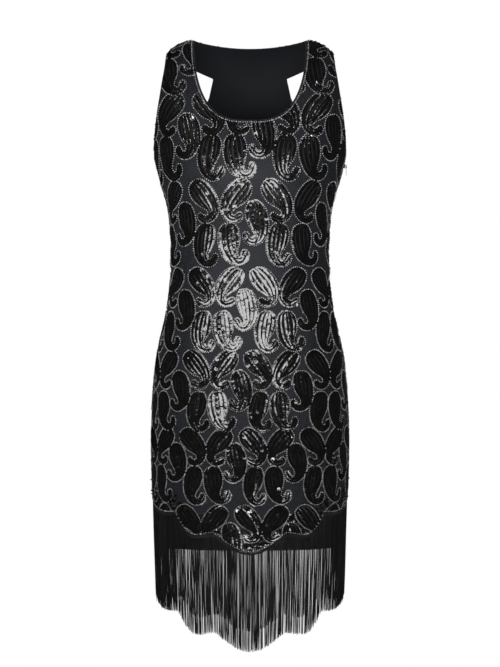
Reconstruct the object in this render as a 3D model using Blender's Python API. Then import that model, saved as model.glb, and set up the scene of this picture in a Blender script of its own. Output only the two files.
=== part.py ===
"""Sequin fringe dress, filled out as worn and held up at the shoulders.

Metres, +Z up. The wearer's front faces -Y and the wearer's left is +X. The origin is the middle
of the shoulder line, where the wearer holds the dress, and a drop is a distance below it.
"""

import math
from collections import namedtuple

import bmesh
import bpy
import numpy as np
from mathutils import Matrix, Vector

FRONT, BACK = -1, 1

# Figure that the dress is cut for: one row for each height
Section = namedtuple("Section", "drop half_width front_depth back_depth")
SECTIONS = (
    Section(0.000, 0.186, 0.053, 0.055),
    Section(0.060, 0.179, 0.069, 0.069),
    Section(0.100, 0.172, 0.084, 0.081),
    Section(0.150, 0.162, 0.100, 0.090),
    Section(0.197, 0.156, 0.111, 0.091),
    Section(0.232, 0.147, 0.113, 0.087),
    Section(0.274, 0.135, 0.104, 0.080),
    Section(0.317, 0.130, 0.093, 0.074),
    Section(0.363, 0.129, 0.089, 0.073),
    Section(0.438, 0.135, 0.093, 0.086),
    Section(0.523, 0.153, 0.103, 0.103),
    Section(0.597, 0.160, 0.109, 0.111),
    Section(0.663, 0.162, 0.112, 0.114),
    Section(0.730, 0.1605, 0.113, 0.115),
    Section(0.795, 0.1573, 0.111, 0.113),
    Section(0.860, 0.1541, 0.109, 0.111),
)
SIDE_FULLNESS = 0.25
SHOULDER_ROUND = 0.090
SHOULDER_TOP = 0.0005
NORMAL_STEP = 0.0002
CURVE_SAMPLES = 181

# Neckline, shoulders and armholes
NECK_HALF_WIDTH = 0.0935
NECK_DROP = 0.142
NECK_SQUARENESS = 3.1
NECK_ROUNDNESS = 2.1
BACK_NECK_DROP = 0.010
SHOULDER_TIP = 0.137
SHOULDER_FALL = 0.021
SHOULDER_FALL_POWER = 2.3
UNDERARM_DROP = 0.197
EdgePoint = namedtuple("EdgePoint", "across drop")
FRONT_ARMHOLE = (
    EdgePoint(0.1375, 0.030),
    EdgePoint(0.1410, 0.060),
    EdgePoint(0.1480, 0.106),
    EdgePoint(0.1545, 0.150),
)
RACER_CORNER = EdgePoint(0.062, 0.054)
RACER_MIDDLE_DROP = 0.060
RACER_FLARE = 3.0

# Scalloped hem, from the middle of a panel to its side seam
Scallop = namedtuple("Scallop", "share_end columns cusp_drop belly skew strands_a_column")
SCALLOPS = (
    Scallop(0.258, 4, 0.810, 0.029, 1.0, 3),
    Scallop(0.567, 5, 0.776, 0.021, 1.4, 3),
    Scallop(1.000, 6, 0.757, 0.008, 0.9, 3),
)
LINING_HEM_DROP = 0.836

# Rows of each panel
YOKE_DROP = 0.215
STRAIGHT_END_DROP = 0.735
BODY_ROWS = 9
HEM_ROWS = 2
YOKE_ROWS = 8
YOKE_CROWDING = 2.4
RACER_ROWS = 4
Columns = namedtuple("Columns", "neck shoulder armhole")
COLUMNS = {FRONT: Columns(8, 2, 5), BACK: Columns(5, 2, 8)}
HALF_COLUMNS = sum(COLUMNS[FRONT])
NECK_CROWDING = 1.15

# Layers of cloth, measured outwards from the figure
GAP = 0.0003
LINING_THICKNESS = 0.0010
LINING_CLEARANCE = 0.0006
SEQUIN_THICKNESS = 0.0013
FRINGE_THICKNESS = 0.0011

# Fringe
FRINGE_LENGTH = 0.157
FRINGE_TAPE_HEIGHT = 0.004
STRAND_SHARE = 0.6
STRAND_SWAY = 0.0006
SWAY_TURNS = (2.4, 1.7)
STRAND_LEAN = 0.04

# Side zip, in the wearer's left seam
ZIP_TOP_DROP = 0.200
ZIP_END_DROP = 0.455
ZIP_SLOT_HALF = 0.0021
ZIP_CHAIN_HALF = 0.0017
SLIDER_DROP = 0.2065
SLIDER_LENGTH = 0.0070
SLIDER_WIDTH = 0.0046
SLIDER_THICKNESS = 0.0018
SLIDER_ROUNDING = 0.0004
ARCH_RADIUS = 0.0026
ARCH_WIRE = 0.0005
PIVOT_HEIGHT = 0.0012
TAB_THICKNESS = 0.0010
TAB_BAR = 0.0010
TAB_TOP_HALF = 0.0023
TAB_FOOT_HALF = 0.0031
TAB_LENGTH = 0.0150
TAB_HOLE_HALF = 0.00125
TAB_HOLE_END = 0.0046
ARCH_TURNS = 9
FOOT_TURNS = 6
WELD = 1e-6


# Figure

def smooth_between(places, values, place):
    """A smooth curve through a table's values."""
    place = min(max(place, places[0]), places[-1])
    i = min(int(np.searchsorted(places, place, side="right")) - 1, len(places) - 2)
    slopes = np.gradient(values, places)
    step = places[i + 1] - places[i]
    t = (place - places[i]) / step
    return (
        (1 + 2 * t) * (1 - t) ** 2 * values[i]
        + t * (1 - t) ** 2 * step * slopes[i]
        + t * t * (3 - 2 * t) * values[i + 1]
        + t * t * (t - 1) * step * slopes[i + 1]
    )


SECTION_TABLE = np.array(SECTIONS).T


def section_value(column, drop):
    return smooth_between(SECTION_TABLE[0], SECTION_TABLE[column], drop)


def half_width(drop):
    return section_value(1, drop)


def centre_depth(face, drop):
    return section_value(2 if face == FRONT else 3, drop)


def shoulder_fall(across):
    """How far the shoulder line lies below its inner end, and its slope there."""
    out = max((abs(across) - NECK_HALF_WIDTH) / (SHOULDER_TIP - NECK_HALF_WIDTH), 0)
    slope = SHOULDER_FALL * SHOULDER_FALL_POWER * out ** (SHOULDER_FALL_POWER - 1)
    slope /= SHOULDER_TIP - NECK_HALF_WIDTH
    return SHOULDER_FALL * out**SHOULDER_FALL_POWER, math.copysign(slope, across)


def figure_point(face, angle, drop):
    """A point of the figure. The angle runs from the middle of the face to its side seam."""
    across = half_width(drop) * math.sin(angle)
    below = min(max((drop - shoulder_fall(across)[0]) / SHOULDER_ROUND, 0), 1)
    rise = math.sqrt(1 - (1 - below) ** 2)
    depth = centre_depth(face, drop) * rise * math.cos(angle)
    depth *= 1 + SIDE_FULLNESS * math.sin(angle) ** 2
    return Vector((across, face * depth, -drop))


def figure_normal(face, angle, drop):
    across = half_width(drop) * math.sin(angle)
    fall, slope = shoulder_fall(across)
    if drop - fall < SHOULDER_TOP:
        return Vector((slope, 0, 1)).normalized()
    step = NORMAL_STEP
    along = figure_point(face, angle + step, drop) - figure_point(face, angle - step, drop)
    down = figure_point(face, angle, drop + step) - figure_point(face, angle, drop - step)
    return (face * along.cross(down)).normalized()


Wall = namedtuple("Wall", "inside outside")


def wall_points(face, angle, drop, wall, seam_gap=0.0):
    """The inner and outer point of a layer of cloth, clear of the seam by half of its gap."""
    point = figure_point(face, angle, drop) + Vector((0, face * seam_gap, 0))
    normal = figure_normal(face, angle, drop)
    return Wall(point + wall.inside * normal, point + wall.outside * normal)


LINING_WALL = Wall(0.0, LINING_THICKNESS)
SEQUIN_INSIDE = LINING_THICKNESS + LINING_CLEARANCE
SEQUIN_WALL = Wall(SEQUIN_INSIDE, SEQUIN_INSIDE + SEQUIN_THICKNESS)
FRINGE_WALL = Wall(SEQUIN_INSIDE, SEQUIN_INSIDE + FRINGE_THICKNESS)


def angle_across(across, drop):
    return math.asin(min(max(across / half_width(drop), -1), 1))


def hem_angles():
    """Angles round the hem against the share of the way from the middle to the side seam."""
    angles = np.linspace(0, math.pi / 2, CURVE_SAMPLES)
    points = [figure_point(FRONT, angle, SECTIONS[-1].drop) for angle in angles]
    steps = [0] + [(b - a).length for a, b in zip(points, points[1:])]
    along = np.cumsum(steps)
    return along / along[-1], angles


SHARES, ANGLES = hem_angles()


def angle_at_share(share):
    return math.copysign(float(np.interp(abs(share), SHARES, ANGLES)), share)


# Outlines of the panels, for one half, as lists of angle and drop

def column_shares():
    shares, start = [0.0], 0.0
    for scallop in SCALLOPS:
        step = (scallop.share_end - start) / scallop.columns
        shares += [start + step * (k + 1) for k in range(scallop.columns)]
        start = scallop.share_end
    return shares


COLUMN_SHARES = column_shares()
COLUMN_ANGLES = [angle_at_share(share) for share in COLUMN_SHARES]


def scalloped_hem():
    middle = SCALLOPS[0]
    # The two halves of a panel share its middle scallop
    bulges = [math.cos(math.pi / 2 * k / middle.columns) for k in range(middle.columns + 1)]
    drops = [middle.cusp_drop + middle.belly * bulge for bulge in bulges]
    before = middle.cusp_drop
    for scallop in SCALLOPS[1:]:
        for k in range(1, scallop.columns + 1):
            t = k / scallop.columns
            bulge = math.sin(math.pi * t**scallop.skew)
            drops.append(before + (scallop.cusp_drop - before) * t + scallop.belly * bulge)
        before = scallop.cusp_drop
    return drops


HEM_DROPS = scalloped_hem()


def outline(points):
    return [(angle_across(p.across, p.drop), p.drop) for p in points]


def shoulder_seam(columns):
    points = []
    for k in range(1, columns + 1):
        across = NECK_HALF_WIDTH + (SHOULDER_TIP - NECK_HALF_WIDTH) * k / columns
        points.append(EdgePoint(across, shoulder_fall(across)[0]))
    return points


def front_top():
    neck, columns = [], COLUMNS[FRONT]
    turns = np.linspace(0, math.pi / 2, CURVE_SAMPLES)
    scoop_across = NECK_HALF_WIDTH * np.sin(turns) ** (2 / NECK_SQUARENESS)
    scoop_drop = NECK_DROP * np.cos(turns).clip(0) ** (2 / NECK_ROUNDNESS)
    lengths = np.hypot(np.diff(scoop_across), np.diff(scoop_drop))
    along = np.concatenate(([0], np.cumsum(lengths)))
    for k in range(columns.neck + 1):
        place = along[-1] * (1 - (1 - k / columns.neck) ** NECK_CROWDING)
        across = float(np.interp(place, along, scoop_across))
        neck.append(EdgePoint(across, float(np.interp(place, along, scoop_drop))))
    underarm = (math.pi / 2, UNDERARM_DROP)
    return outline(neck + shoulder_seam(columns.shoulder) + list(FRONT_ARMHOLE)) + [underarm]


def back_top():
    neck, columns = [], COLUMNS[BACK]
    for k in range(columns.neck + 1):
        share = k / columns.neck
        neck.append(EdgePoint(NECK_HALF_WIDTH * share, BACK_NECK_DROP * (1 - share**2)))
    return outline(neck + shoulder_seam(columns.shoulder))


def racer_row():
    """The narrowest row of the back, and the armhole edges below it."""
    row, columns = [], COLUMNS[BACK]
    tip = columns.neck + columns.shoulder
    for k in range(tip + 1):
        share = k / tip
        drop = RACER_MIDDLE_DROP + (RACER_CORNER.drop - RACER_MIDDLE_DROP) * share**2
        row.append(EdgePoint(RACER_CORNER.across * share, drop))
    wide = half_width(UNDERARM_DROP) - RACER_CORNER.across
    for k in range(1, columns.armhole):
        turn = math.pi / 2 * k / columns.armhole
        across = RACER_CORNER.across + wide * (1 - math.cos(turn) ** RACER_FLARE)
        drop = RACER_CORNER.drop + (UNDERARM_DROP - RACER_CORNER.drop) * math.sin(turn)
        row.append(EdgePoint(across, drop))
    return outline(row) + [(math.pi / 2, UNDERARM_DROP)]


def rows_between(low, high, count, crowding=1.0):
    """Rows from one outline towards another, without the first, closer together at the end."""
    rows = []
    for k in range(1, count + 1):
        t = 1 - (1 - k / count) ** crowding
        rows.append([(a + (c - a) * t, b + (d - b) * t) for (a, b), (c, d) in zip(low, high)])
    return rows


def panel_rows(face, hem_drops):
    """Rows of angle and drop for one half of a panel, from its hem to its top."""
    def straight(drop):
        return [(angle, drop) for angle in COLUMN_ANGLES]

    hem = list(zip(COLUMN_ANGLES, hem_drops))
    rows = [hem] + rows_between(hem, straight(STRAIGHT_END_DROP), HEM_ROWS)
    rows += rows_between(straight(STRAIGHT_END_DROP), straight(YOKE_DROP), BODY_ROWS)
    if face == FRONT:
        return rows + rows_between(rows[-1], front_top(), YOKE_ROWS, YOKE_CROWDING)
    rows += rows_between(rows[-1], racer_row(), YOKE_ROWS - 1)
    narrow = rows[-1][: COLUMNS[BACK].neck + COLUMNS[BACK].shoulder + 1]
    return rows + rows_between(narrow, back_top(), RACER_ROWS, YOKE_CROWDING)


# Meshes

CREASE = math.radians(40)


def new_object(name, mesh, material):
    mesh.materials.append(material)
    obj = bpy.data.objects.new(name, mesh)
    PARTS.objects.link(obj)
    return obj


def principled(name, colour, roughness, metallic=0.0):
    material = bpy.data.materials.new(name)
    material.use_nodes = True
    shader = material.node_tree.nodes["Principled BSDF"]
    shader.inputs["Base Color"].default_value = (*colour, 1)
    shader.inputs["Roughness"].default_value = roughness
    shader.inputs["Metallic"].default_value = metallic
    return material


def cloth_wall(name, walls, cells, material):
    """A closed wall, lofted between sections that differ, from its inner and outer points."""
    keys = sorted(walls)
    number = {key: i for i, key in enumerate(keys)}
    outer = [tuple(number[key] for key in cell) for cell in cells]
    inner = [tuple(len(keys) + i for i in reversed(face)) for face in outer]
    edges = {(a, b) for face in outer for a, b in zip(face, face[1:] + face[:1])}
    rim = [(b, a, len(keys) + a, len(keys) + b) for a, b in sorted(edges) if (b, a) not in edges]
    points = [walls[key].outside for key in keys] + [walls[key].inside for key in keys]
    mesh = bpy.data.meshes.new(name)
    mesh.from_pydata(points, [], outer + inner + rim)
    mesh.shade_smooth()
    mesh.set_sharp_from_angle(angle=CREASE)
    return new_object(name, mesh, material)


def split_cell(near, far, low, high, turned):
    """The two triangles of a cell between two places and two rows, seen from outside."""
    corners = [(low, near), (low, far), (high, far), (high, near)]
    if turned:
        corners = corners[1:] + corners[:1]
    return corners[:3], corners[:1] + corners[2:]


def seam_half_gap(drop, side, slotted):
    """Half of the gap at a side seam. The sequined panels leave a slot for the zip."""
    if not slotted or side < 0:
        return GAP / 2
    closing = min(max((drop - ZIP_END_DROP) / (YOKE_DROP - UNDERARM_DROP), 0), 1)
    return ZIP_SLOT_HALF + (GAP / 2 - ZIP_SLOT_HALF) * closing


def outward_cells(face, cells):
    return cells if face == FRONT else [tuple(reversed(cell)) for cell in cells]


def panel(name, face, hem_drops, layer, slotted, material):
    """One panel of the dress, from side seam to side seam and from hem to shoulder."""
    walls = {}
    rows = panel_rows(face, hem_drops)
    top = len(rows) - 1
    seam_start = COLUMNS[face].neck
    seam_end = seam_start + COLUMNS[face].shoulder
    for r, row in enumerate(rows):
        for column in range(1 - len(row), len(row)):
            side = -1 if column < 0 else 1
            angle, drop = row[abs(column)]
            gap = 0.0
            if abs(column) == HALF_COLUMNS:
                gap = seam_half_gap(drop, side, slotted)
            elif r == top and seam_start <= abs(column) <= seam_end:
                gap = GAP / 2
            walls[r, column] = wall_points(face, side * angle, drop, layer, gap)
    cells = []
    for r, column in walls:
        if all(key in walls for key in ((r, column + 1), (r + 1, column), (r + 1, column + 1))):
            rising = rows[r + 1][abs(column)][1] - rows[r + 1][abs(column + 1)][1]
            # Layers that share these cells stay clear of each other, split along one diagonal
            turned = rising > 0 or (rising == 0 and column >= 0)
            cells += split_cell(column, column + 1, r, r + 1, turned)
    return cloth_wall(name, walls, outward_cells(face, cells), material)


def fringe(name, face, material):
    """A narrow tape below the scalloped hem, with the strands that hang from it."""
    def corner(column, level):
        side, place = (-1 if column < 0 else 1), abs(column)
        gap = GAP / 2 if place == HALF_COLUMNS else 0.0
        drop = HEM_DROPS[place] + GAP + level * FRINGE_TAPE_HEIGHT
        return wall_points(face, side * COLUMN_ANGLES[place], drop, FRINGE_WALL, gap)

    walls, roots = {}, []
    for column in range(-HALF_COLUMNS, HALF_COLUMNS):
        count = strands_of_column(column)
        starts = [(k + (1 - STRAND_SHARE) / 2) / count for k in range(count)]
        roots += [column + start for start in starts]
        cuts = [start + end for start in starts for end in (0, STRAND_SHARE / count)]
        for level in (0, 1):
            for cut in [0.0] + cuts:
                ends = zip(corner(column, level), corner(column + 1, level))
                walls[level, column + cut] = Wall(*(a.lerp(b, cut) for a, b in ends))
    for level in (0, 1):
        walls[level, HALF_COLUMNS] = corner(HALF_COLUMNS, level)

    places = sorted(place for level, place in walls if level == 0)
    cells = []
    for number, (near, far) in enumerate(zip(places, places[1:])):
        cells += split_cell(near, far, 1, 0, near >= 0)
        if near in roots:
            for place in (near, far):
                walls[2, place] = Wall(*(strand_end(root, number) for root in walls[1, place]))
            cells += split_cell(near, far, 2, 1, near >= 0)
    return cloth_wall(name, walls, outward_cells(face, cells), material)


def strands_of_column(column):
    place = column if column >= 0 else -column - 1
    for scallop in SCALLOPS:
        if place < scallop.columns:
            return scallop.strands_a_column
        place -= scallop.columns


def strand_end(root, number):
    """The free end of a strand, which leans inwards with the figure and sways a little."""
    across, depth = SWAY_TURNS
    sway = Vector((math.sin(number * across), math.cos(number * depth), 0)) * STRAND_SWAY
    end = root * (1 - STRAND_LEAN) + sway
    end.z = root.z - FRINGE_LENGTH
    return end


# Side zip

def zip_chain(material):
    """The closed chain, which lies in the slot between the sequined panels."""
    drops = [row[HALF_COLUMNS][1] for row in panel_rows(FRONT, HEM_DROPS)]
    drops = [drop for drop in drops if ZIP_TOP_DROP <= drop < ZIP_END_DROP]
    drops = [ZIP_END_DROP, *drops, ZIP_TOP_DROP]
    walls, cells = {}, []
    for r, drop in enumerate(drops):
        for side in (FRONT, BACK):
            walls[r, side] = wall_points(side, math.pi / 2, drop, SEQUIN_WALL, ZIP_CHAIN_HALF)
        if r:
            cells += split_cell(FRONT, BACK, r - 1, r, False)
    return cloth_wall("zip_chain", walls, cells, material)


def slider_frame():
    """The slider's own axes on the chain: local X outwards, local Z up along the seam."""
    outwards = figure_normal(FRONT, math.pi / 2, SLIDER_DROP)
    outwards.y = 0
    outwards.normalize()
    foot = figure_point(FRONT, math.pi / 2, SLIDER_DROP) + (SEQUIN_WALL.outside + GAP) * outwards
    foot.y = 0
    up = outwards.cross(Vector((0, 1, 0)))
    frame = Matrix((outwards, Vector((0, 1, 0)), up)).transposed().to_4x4()
    frame.translation = foot
    return frame


def box_mesh(name, size, rounding):
    shape = bmesh.new()
    bmesh.ops.create_cube(shape, size=1.0)
    bmesh.ops.scale(shape, vec=size, verts=shape.verts)
    bmesh.ops.bevel(shape, geom=shape.edges[:], offset=rounding, segments=1, affect="EDGES")
    mesh = bpy.data.meshes.new(name)
    shape.to_mesh(mesh)
    shape.free()
    return mesh


def zip_slider(frame, material):
    """The slider's body, with the arch that its pull tab hangs on."""
    body = box_mesh("zip_slider", (SLIDER_THICKNESS, SLIDER_WIDTH, SLIDER_LENGTH), SLIDER_ROUNDING)
    body.transform(Matrix.Translation((SLIDER_THICKNESS / 2, 0, 0)))
    slider = new_object("zip_slider", body, material)
    slider.matrix_world = frame

    join = slider.modifiers.new("Arch", "BOOLEAN")
    join.operation = "UNION"
    join.object = slider_arch(frame)
    return slider


def slider_arch(frame):
    """A bent wire whose two feet end inside the slider's body."""
    line = bpy.data.curves.new("slider_arch_line", "CURVE")
    line.dimensions = "3D"
    line.bevel_depth = ARCH_WIRE
    line.bevel_resolution = 2
    line.use_fill_caps = True
    spline = line.splines.new("POLY")
    spline.points.add(ARCH_TURNS)
    for k, point in enumerate(spline.points):
        turn = math.pi * (k / ARCH_TURNS - 0.5)
        out = SLIDER_THICKNESS + ARCH_RADIUS * math.cos(turn)
        if k in (0, ARCH_TURNS):
            out = SLIDER_THICKNESS / 2
        point.co = (out, 0, ARCH_RADIUS * math.sin(turn), 1)
    guide = bpy.data.objects.new("slider_arch_guide", line)
    CUTTERS.objects.link(guide)
    bpy.context.view_layer.update()
    graph = bpy.context.evaluated_depsgraph_get()
    mesh = bpy.data.meshes.new_from_object(guide.evaluated_get(graph))
    bpy.data.objects.remove(guide)
    shape = bmesh.new()
    shape.from_mesh(mesh)
    bmesh.ops.remove_doubles(shape, verts=shape.verts, dist=WELD)
    bmesh.ops.recalc_face_normals(shape, faces=shape.faces)
    shape.to_mesh(mesh)
    shape.free()
    arch = bpy.data.objects.new("slider_arch", mesh)
    arch.hide_render = True
    arch.display_type = "WIRE"
    arch.matrix_world = frame
    CUTTERS.objects.link(arch)
    return arch


def tab_outline():
    """The tab's edge as width and height below the pivot, and the edge of its hole."""
    edge = [(-TAB_TOP_HALF, TAB_BAR / 2), (TAB_TOP_HALF, TAB_BAR / 2)]
    foot_middle = TAB_FOOT_HALF - TAB_LENGTH
    for k in range(FOOT_TURNS + 1):
        turn = math.pi * k / FOOT_TURNS
        foot = (TAB_FOOT_HALF * math.cos(turn), foot_middle - TAB_FOOT_HALF * math.sin(turn))
        edge.append(foot)
    hole = [
        (-TAB_HOLE_HALF, -TAB_BAR / 2),
        (TAB_HOLE_HALF, -TAB_BAR / 2),
        (TAB_HOLE_HALF, -TAB_HOLE_END),
        (-TAB_HOLE_HALF, -TAB_HOLE_END),
    ]
    return edge, hole


def zip_pull(pivot, material):
    """The pull tab, whose origin is the middle of its bar, on its hinge axis."""
    outline_curve = bpy.data.curves.new("zip_pull", "CURVE")
    outline_curve.dimensions = "2D"
    outline_curve.fill_mode = "BOTH"
    outline_curve.extrude = TAB_THICKNESS / 2
    for points in tab_outline():
        spline = outline_curve.splines.new("POLY")
        spline.points.add(len(points) - 1)
        spline.use_cyclic_u = True
        for point, (across, up) in zip(spline.points, points):
            point.co = (across, up, 0, 1)
    outline_curve.materials.append(material)
    tab = bpy.data.objects.new("zip_pull", outline_curve)
    PARTS.objects.link(tab)
    across_y_up_z = Matrix(((0, 0, 1), (1, 0, 0), (0, 1, 0))).to_4x4()
    tab.matrix_world = Matrix.Translation(pivot) @ across_y_up_z
    return tab


# Assembly

for old in list(bpy.data.objects):
    bpy.data.objects.remove(old)

PARTS = bpy.data.collections.new("sequin_fringe_dress")
CUTTERS = bpy.data.collections.new("cutters")
bpy.context.scene.collection.children.link(PARTS)
bpy.context.scene.collection.children.link(CUTTERS)


def build_dress():
    sequins = principled("black_sequins", (0.016, 0.016, 0.017), 0.38)
    back_sequins = principled("black_sequins_back", (0.016, 0.016, 0.017), 0.38)
    charcoal = principled("charcoal_lining", (0.018, 0.019, 0.024), 0.55)
    back_charcoal = principled("charcoal_lining_back", (0.018, 0.019, 0.024), 0.55)
    cord = principled("black_fringe", (0.010, 0.010, 0.010), 0.45)
    back_cord = principled("black_fringe_back", (0.010, 0.010, 0.010), 0.45)
    tape = principled("black_zip", (0.012, 0.012, 0.013), 0.5)
    enamel = principled("black_enamel", (0.015, 0.015, 0.016), 0.3, 0.6)
    pull_enamel = principled("black_enamel_pull", (0.015, 0.015, 0.016), 0.3, 0.6)
    plain_hem = [LINING_HEM_DROP] * (HALF_COLUMNS + 1)

    panel("front", FRONT, HEM_DROPS, SEQUIN_WALL, True, sequins)
    panel("back", BACK, HEM_DROPS, SEQUIN_WALL, True, back_sequins)
    panel("lining_front", FRONT, plain_hem, LINING_WALL, False, charcoal)
    panel("lining_back", BACK, plain_hem, LINING_WALL, False, back_charcoal)
    fringe("fringe_front", FRONT, cord)
    fringe("fringe_back", BACK, back_cord)
    zip_chain(tape)
    frame = slider_frame()
    zip_slider(frame, enamel)
    pivot = frame @ Vector((SLIDER_THICKNESS + PIVOT_HEIGHT, 0, 0))
    zip_pull(pivot, pull_enamel)

    holder = bpy.data.objects.new("worn_at_shoulders", None)
    PARTS.objects.link(holder)
    for obj in PARTS.objects:
        if obj.type != "EMPTY":
            obj.parent = holder


build_dress()
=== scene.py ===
"""Looks of the sequin fringe dress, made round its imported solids.

Metres, +Z up. The wearer's front faces -Y and the wearer's left is +X. A drop is a distance below
the shoulder line, and an angle runs round the dress from the middle of a face to its side seam.
On the flat cloth, a place is its distance across from the middle and its depth down.
"""

import math
from collections import namedtuple

import bmesh
import bpy
import numpy as np
from bpy.props import FloatProperty, FloatVectorProperty, IntProperty, PointerProperty
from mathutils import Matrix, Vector


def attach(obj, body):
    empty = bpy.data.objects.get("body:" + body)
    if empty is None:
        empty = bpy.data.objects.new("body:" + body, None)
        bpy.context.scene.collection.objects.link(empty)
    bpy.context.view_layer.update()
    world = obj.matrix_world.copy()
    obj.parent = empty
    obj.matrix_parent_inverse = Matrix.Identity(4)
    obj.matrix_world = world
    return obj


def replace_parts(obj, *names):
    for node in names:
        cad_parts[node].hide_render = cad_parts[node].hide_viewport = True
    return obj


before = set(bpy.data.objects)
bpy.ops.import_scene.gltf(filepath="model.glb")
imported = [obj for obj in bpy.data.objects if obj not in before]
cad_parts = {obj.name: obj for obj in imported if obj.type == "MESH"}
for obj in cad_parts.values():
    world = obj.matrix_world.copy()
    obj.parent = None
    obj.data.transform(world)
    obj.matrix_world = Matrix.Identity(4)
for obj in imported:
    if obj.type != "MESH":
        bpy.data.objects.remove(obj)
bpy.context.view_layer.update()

bl_info = {
    "name": "Sequin Fringe Dress",
    "version": (1, 0, 0),
    "blender": (4, 5, 0),
    "location": "3D View > Sidebar > Dress",
    "description": "Builds a sequined fringe dress, its trimmings, and a plain studio",
    "category": "Object",
}

FRONT, BACK = -1, 1
FACE_NAMES = {FRONT: "front", BACK: "back"}
EDGES = ("neck", "left_arm", "right_arm")

# Figure that the dress is cut for: drop, half width, depth in front, depth behind
FIGURE = np.array((
    (0.000, 0.186, 0.053, 0.055),
    (0.060, 0.179, 0.069, 0.069),
    (0.100, 0.172, 0.084, 0.081),
    (0.150, 0.162, 0.100, 0.090),
    (0.197, 0.156, 0.111, 0.091),
    (0.232, 0.147, 0.113, 0.087),
    (0.274, 0.135, 0.104, 0.080),
    (0.317, 0.130, 0.093, 0.074),
    (0.363, 0.129, 0.089, 0.073),
    (0.438, 0.135, 0.093, 0.086),
    (0.523, 0.153, 0.103, 0.103),
    (0.597, 0.160, 0.109, 0.111),
    (0.663, 0.162, 0.112, 0.114),
    (0.730, 0.1605, 0.113, 0.115),
    (0.795, 0.1573, 0.111, 0.113),
    (0.860, 0.1541, 0.109, 0.111),
)).T
SIDE_FULLNESS = 0.25
SHOULDER_ROUND = 0.090
SHOULDER_TOP = 0.0005
# Above this drop the cloth lies over the shoulder, and is longer than its drop
SHOULDER_END = 0.100
NORMAL_STEP = 0.0002
CURVE_SAMPLES = 181
LINE_SAMPLES = 200
TABLE_DROPS, TABLE_ANGLES, TABLE_SHARES = 130, 121, 91

# Neckline, shoulders and armholes
NECK_HALF_WIDTH = 0.0935
NECK_DROP = 0.142
NECK_SQUARENESS = 3.1
NECK_ROUNDNESS = 2.1
NECK_CROWDING = 1.15
BACK_NECK_DROP = 0.010
SHOULDER_TIP = 0.137
SHOULDER_FALL = 0.021
SHOULDER_FALL_POWER = 2.3
UNDERARM_DROP = 0.197
ARMHOLE_ACROSS = np.array((0.137, 0.1375, 0.1410, 0.1480, 0.1545, 0.156))
ARMHOLE_DROPS = np.array((0.021, 0.030, 0.060, 0.106, 0.150, 0.197))
# Where the armhole goes on behind the side seam, which keeps its lowest stretch round
ARMHOLE_NEXT_DROP = 0.158
RACER_ACROSS, RACER_DROP = 0.062, 0.054
RACER_MIDDLE_DROP = 0.060
RACER_FLARE = 3.0

# Scalloped hem, from the middle of a panel to its side seam
Scallop = namedtuple("Scallop", "share_end columns cusp_drop belly skew")
SCALLOPS = (
    Scallop(0.258, 4, 0.810, 0.029, 1.0),
    Scallop(0.567, 5, 0.776, 0.021, 1.4),
    Scallop(1.000, 6, 0.757, 0.008, 0.9),
)
HEM_GIRTH_DROP, HEM_READ_DROP = 0.860, 0.8
LINING_HEM_DROP = 0.836
YOKE_DROP = 0.215
STRAIGHT_END_DROP = 0.735
YOKE_CROWDING = 1.9
# Columns of the cut along neck, shoulder and armhole, and how much finer the cloth and its
# outlines are. Rows down each cloth.
COLUMNS = {FRONT: (8, 2, 5), BACK: (5, 2, 8)}
FINER, FINEST = 4, 6
LINING_ROWS, NET_ROWS = 36, 60

# Layers, measured outwards from the figure
LINING_WALL = (0.0, 0.0009)
NET_WALL = (0.0016, 0.0023)
TAPE_WALL = (0.0014, 0.0028)
SEAM_GAP = 0.00004
SEAM_ANGLE = math.pi / 2 - 1e-6
BINDING_PITCH, BINDING_SIDES = 0.003, 8

# Soft creases of each panel: across, down, length, width, depth and lean in degrees. They lie on
# the flat cloth, on both sides alike but for a shift down on the wearer's left and up on the right.
CREASE_SHIFTS = (0.006, -0.005)
CREASES = {
    FRONT: (
        (0.150, 0.222, 0.050, 0.0100, 0.0016, 62),
        (0.118, 0.262, 0.046, 0.0110, -0.0014, 48),
        (0.142, 0.318, 0.034, 0.0080, 0.0017, 84),
        (0.151, 0.345, 0.030, 0.0075, -0.0016, 92),
        (0.146, 0.376, 0.036, 0.0080, 0.0018, 98),
        (0.128, 0.410, 0.044, 0.0110, -0.0012, 112),
        (0.098, 0.560, 0.110, 0.0170, 0.0013, 8),
        (0.182, 0.640, 0.090, 0.0130, -0.0016, -6),
        (0.052, 0.742, 0.070, 0.0150, -0.0014, 4),
        (0.134, 0.735, 0.060, 0.0130, 0.0016, -5),
    ),
    BACK: (
        (0.120, 0.240, 0.060, 0.0120, 0.0018, 55),
        (0.060, 0.330, 0.050, 0.0100, -0.0016, 76),
        (0.122, 0.352, 0.050, 0.0090, 0.0020, 88),
        (0.070, 0.388, 0.056, 0.0100, 0.0016, 97),
        (0.140, 0.412, 0.044, 0.0090, -0.0018, 108),
        (0.080, 0.640, 0.110, 0.0180, -0.0015, 6),
        (0.160, 0.700, 0.090, 0.0150, 0.0016, -5),
    ),
}

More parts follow.
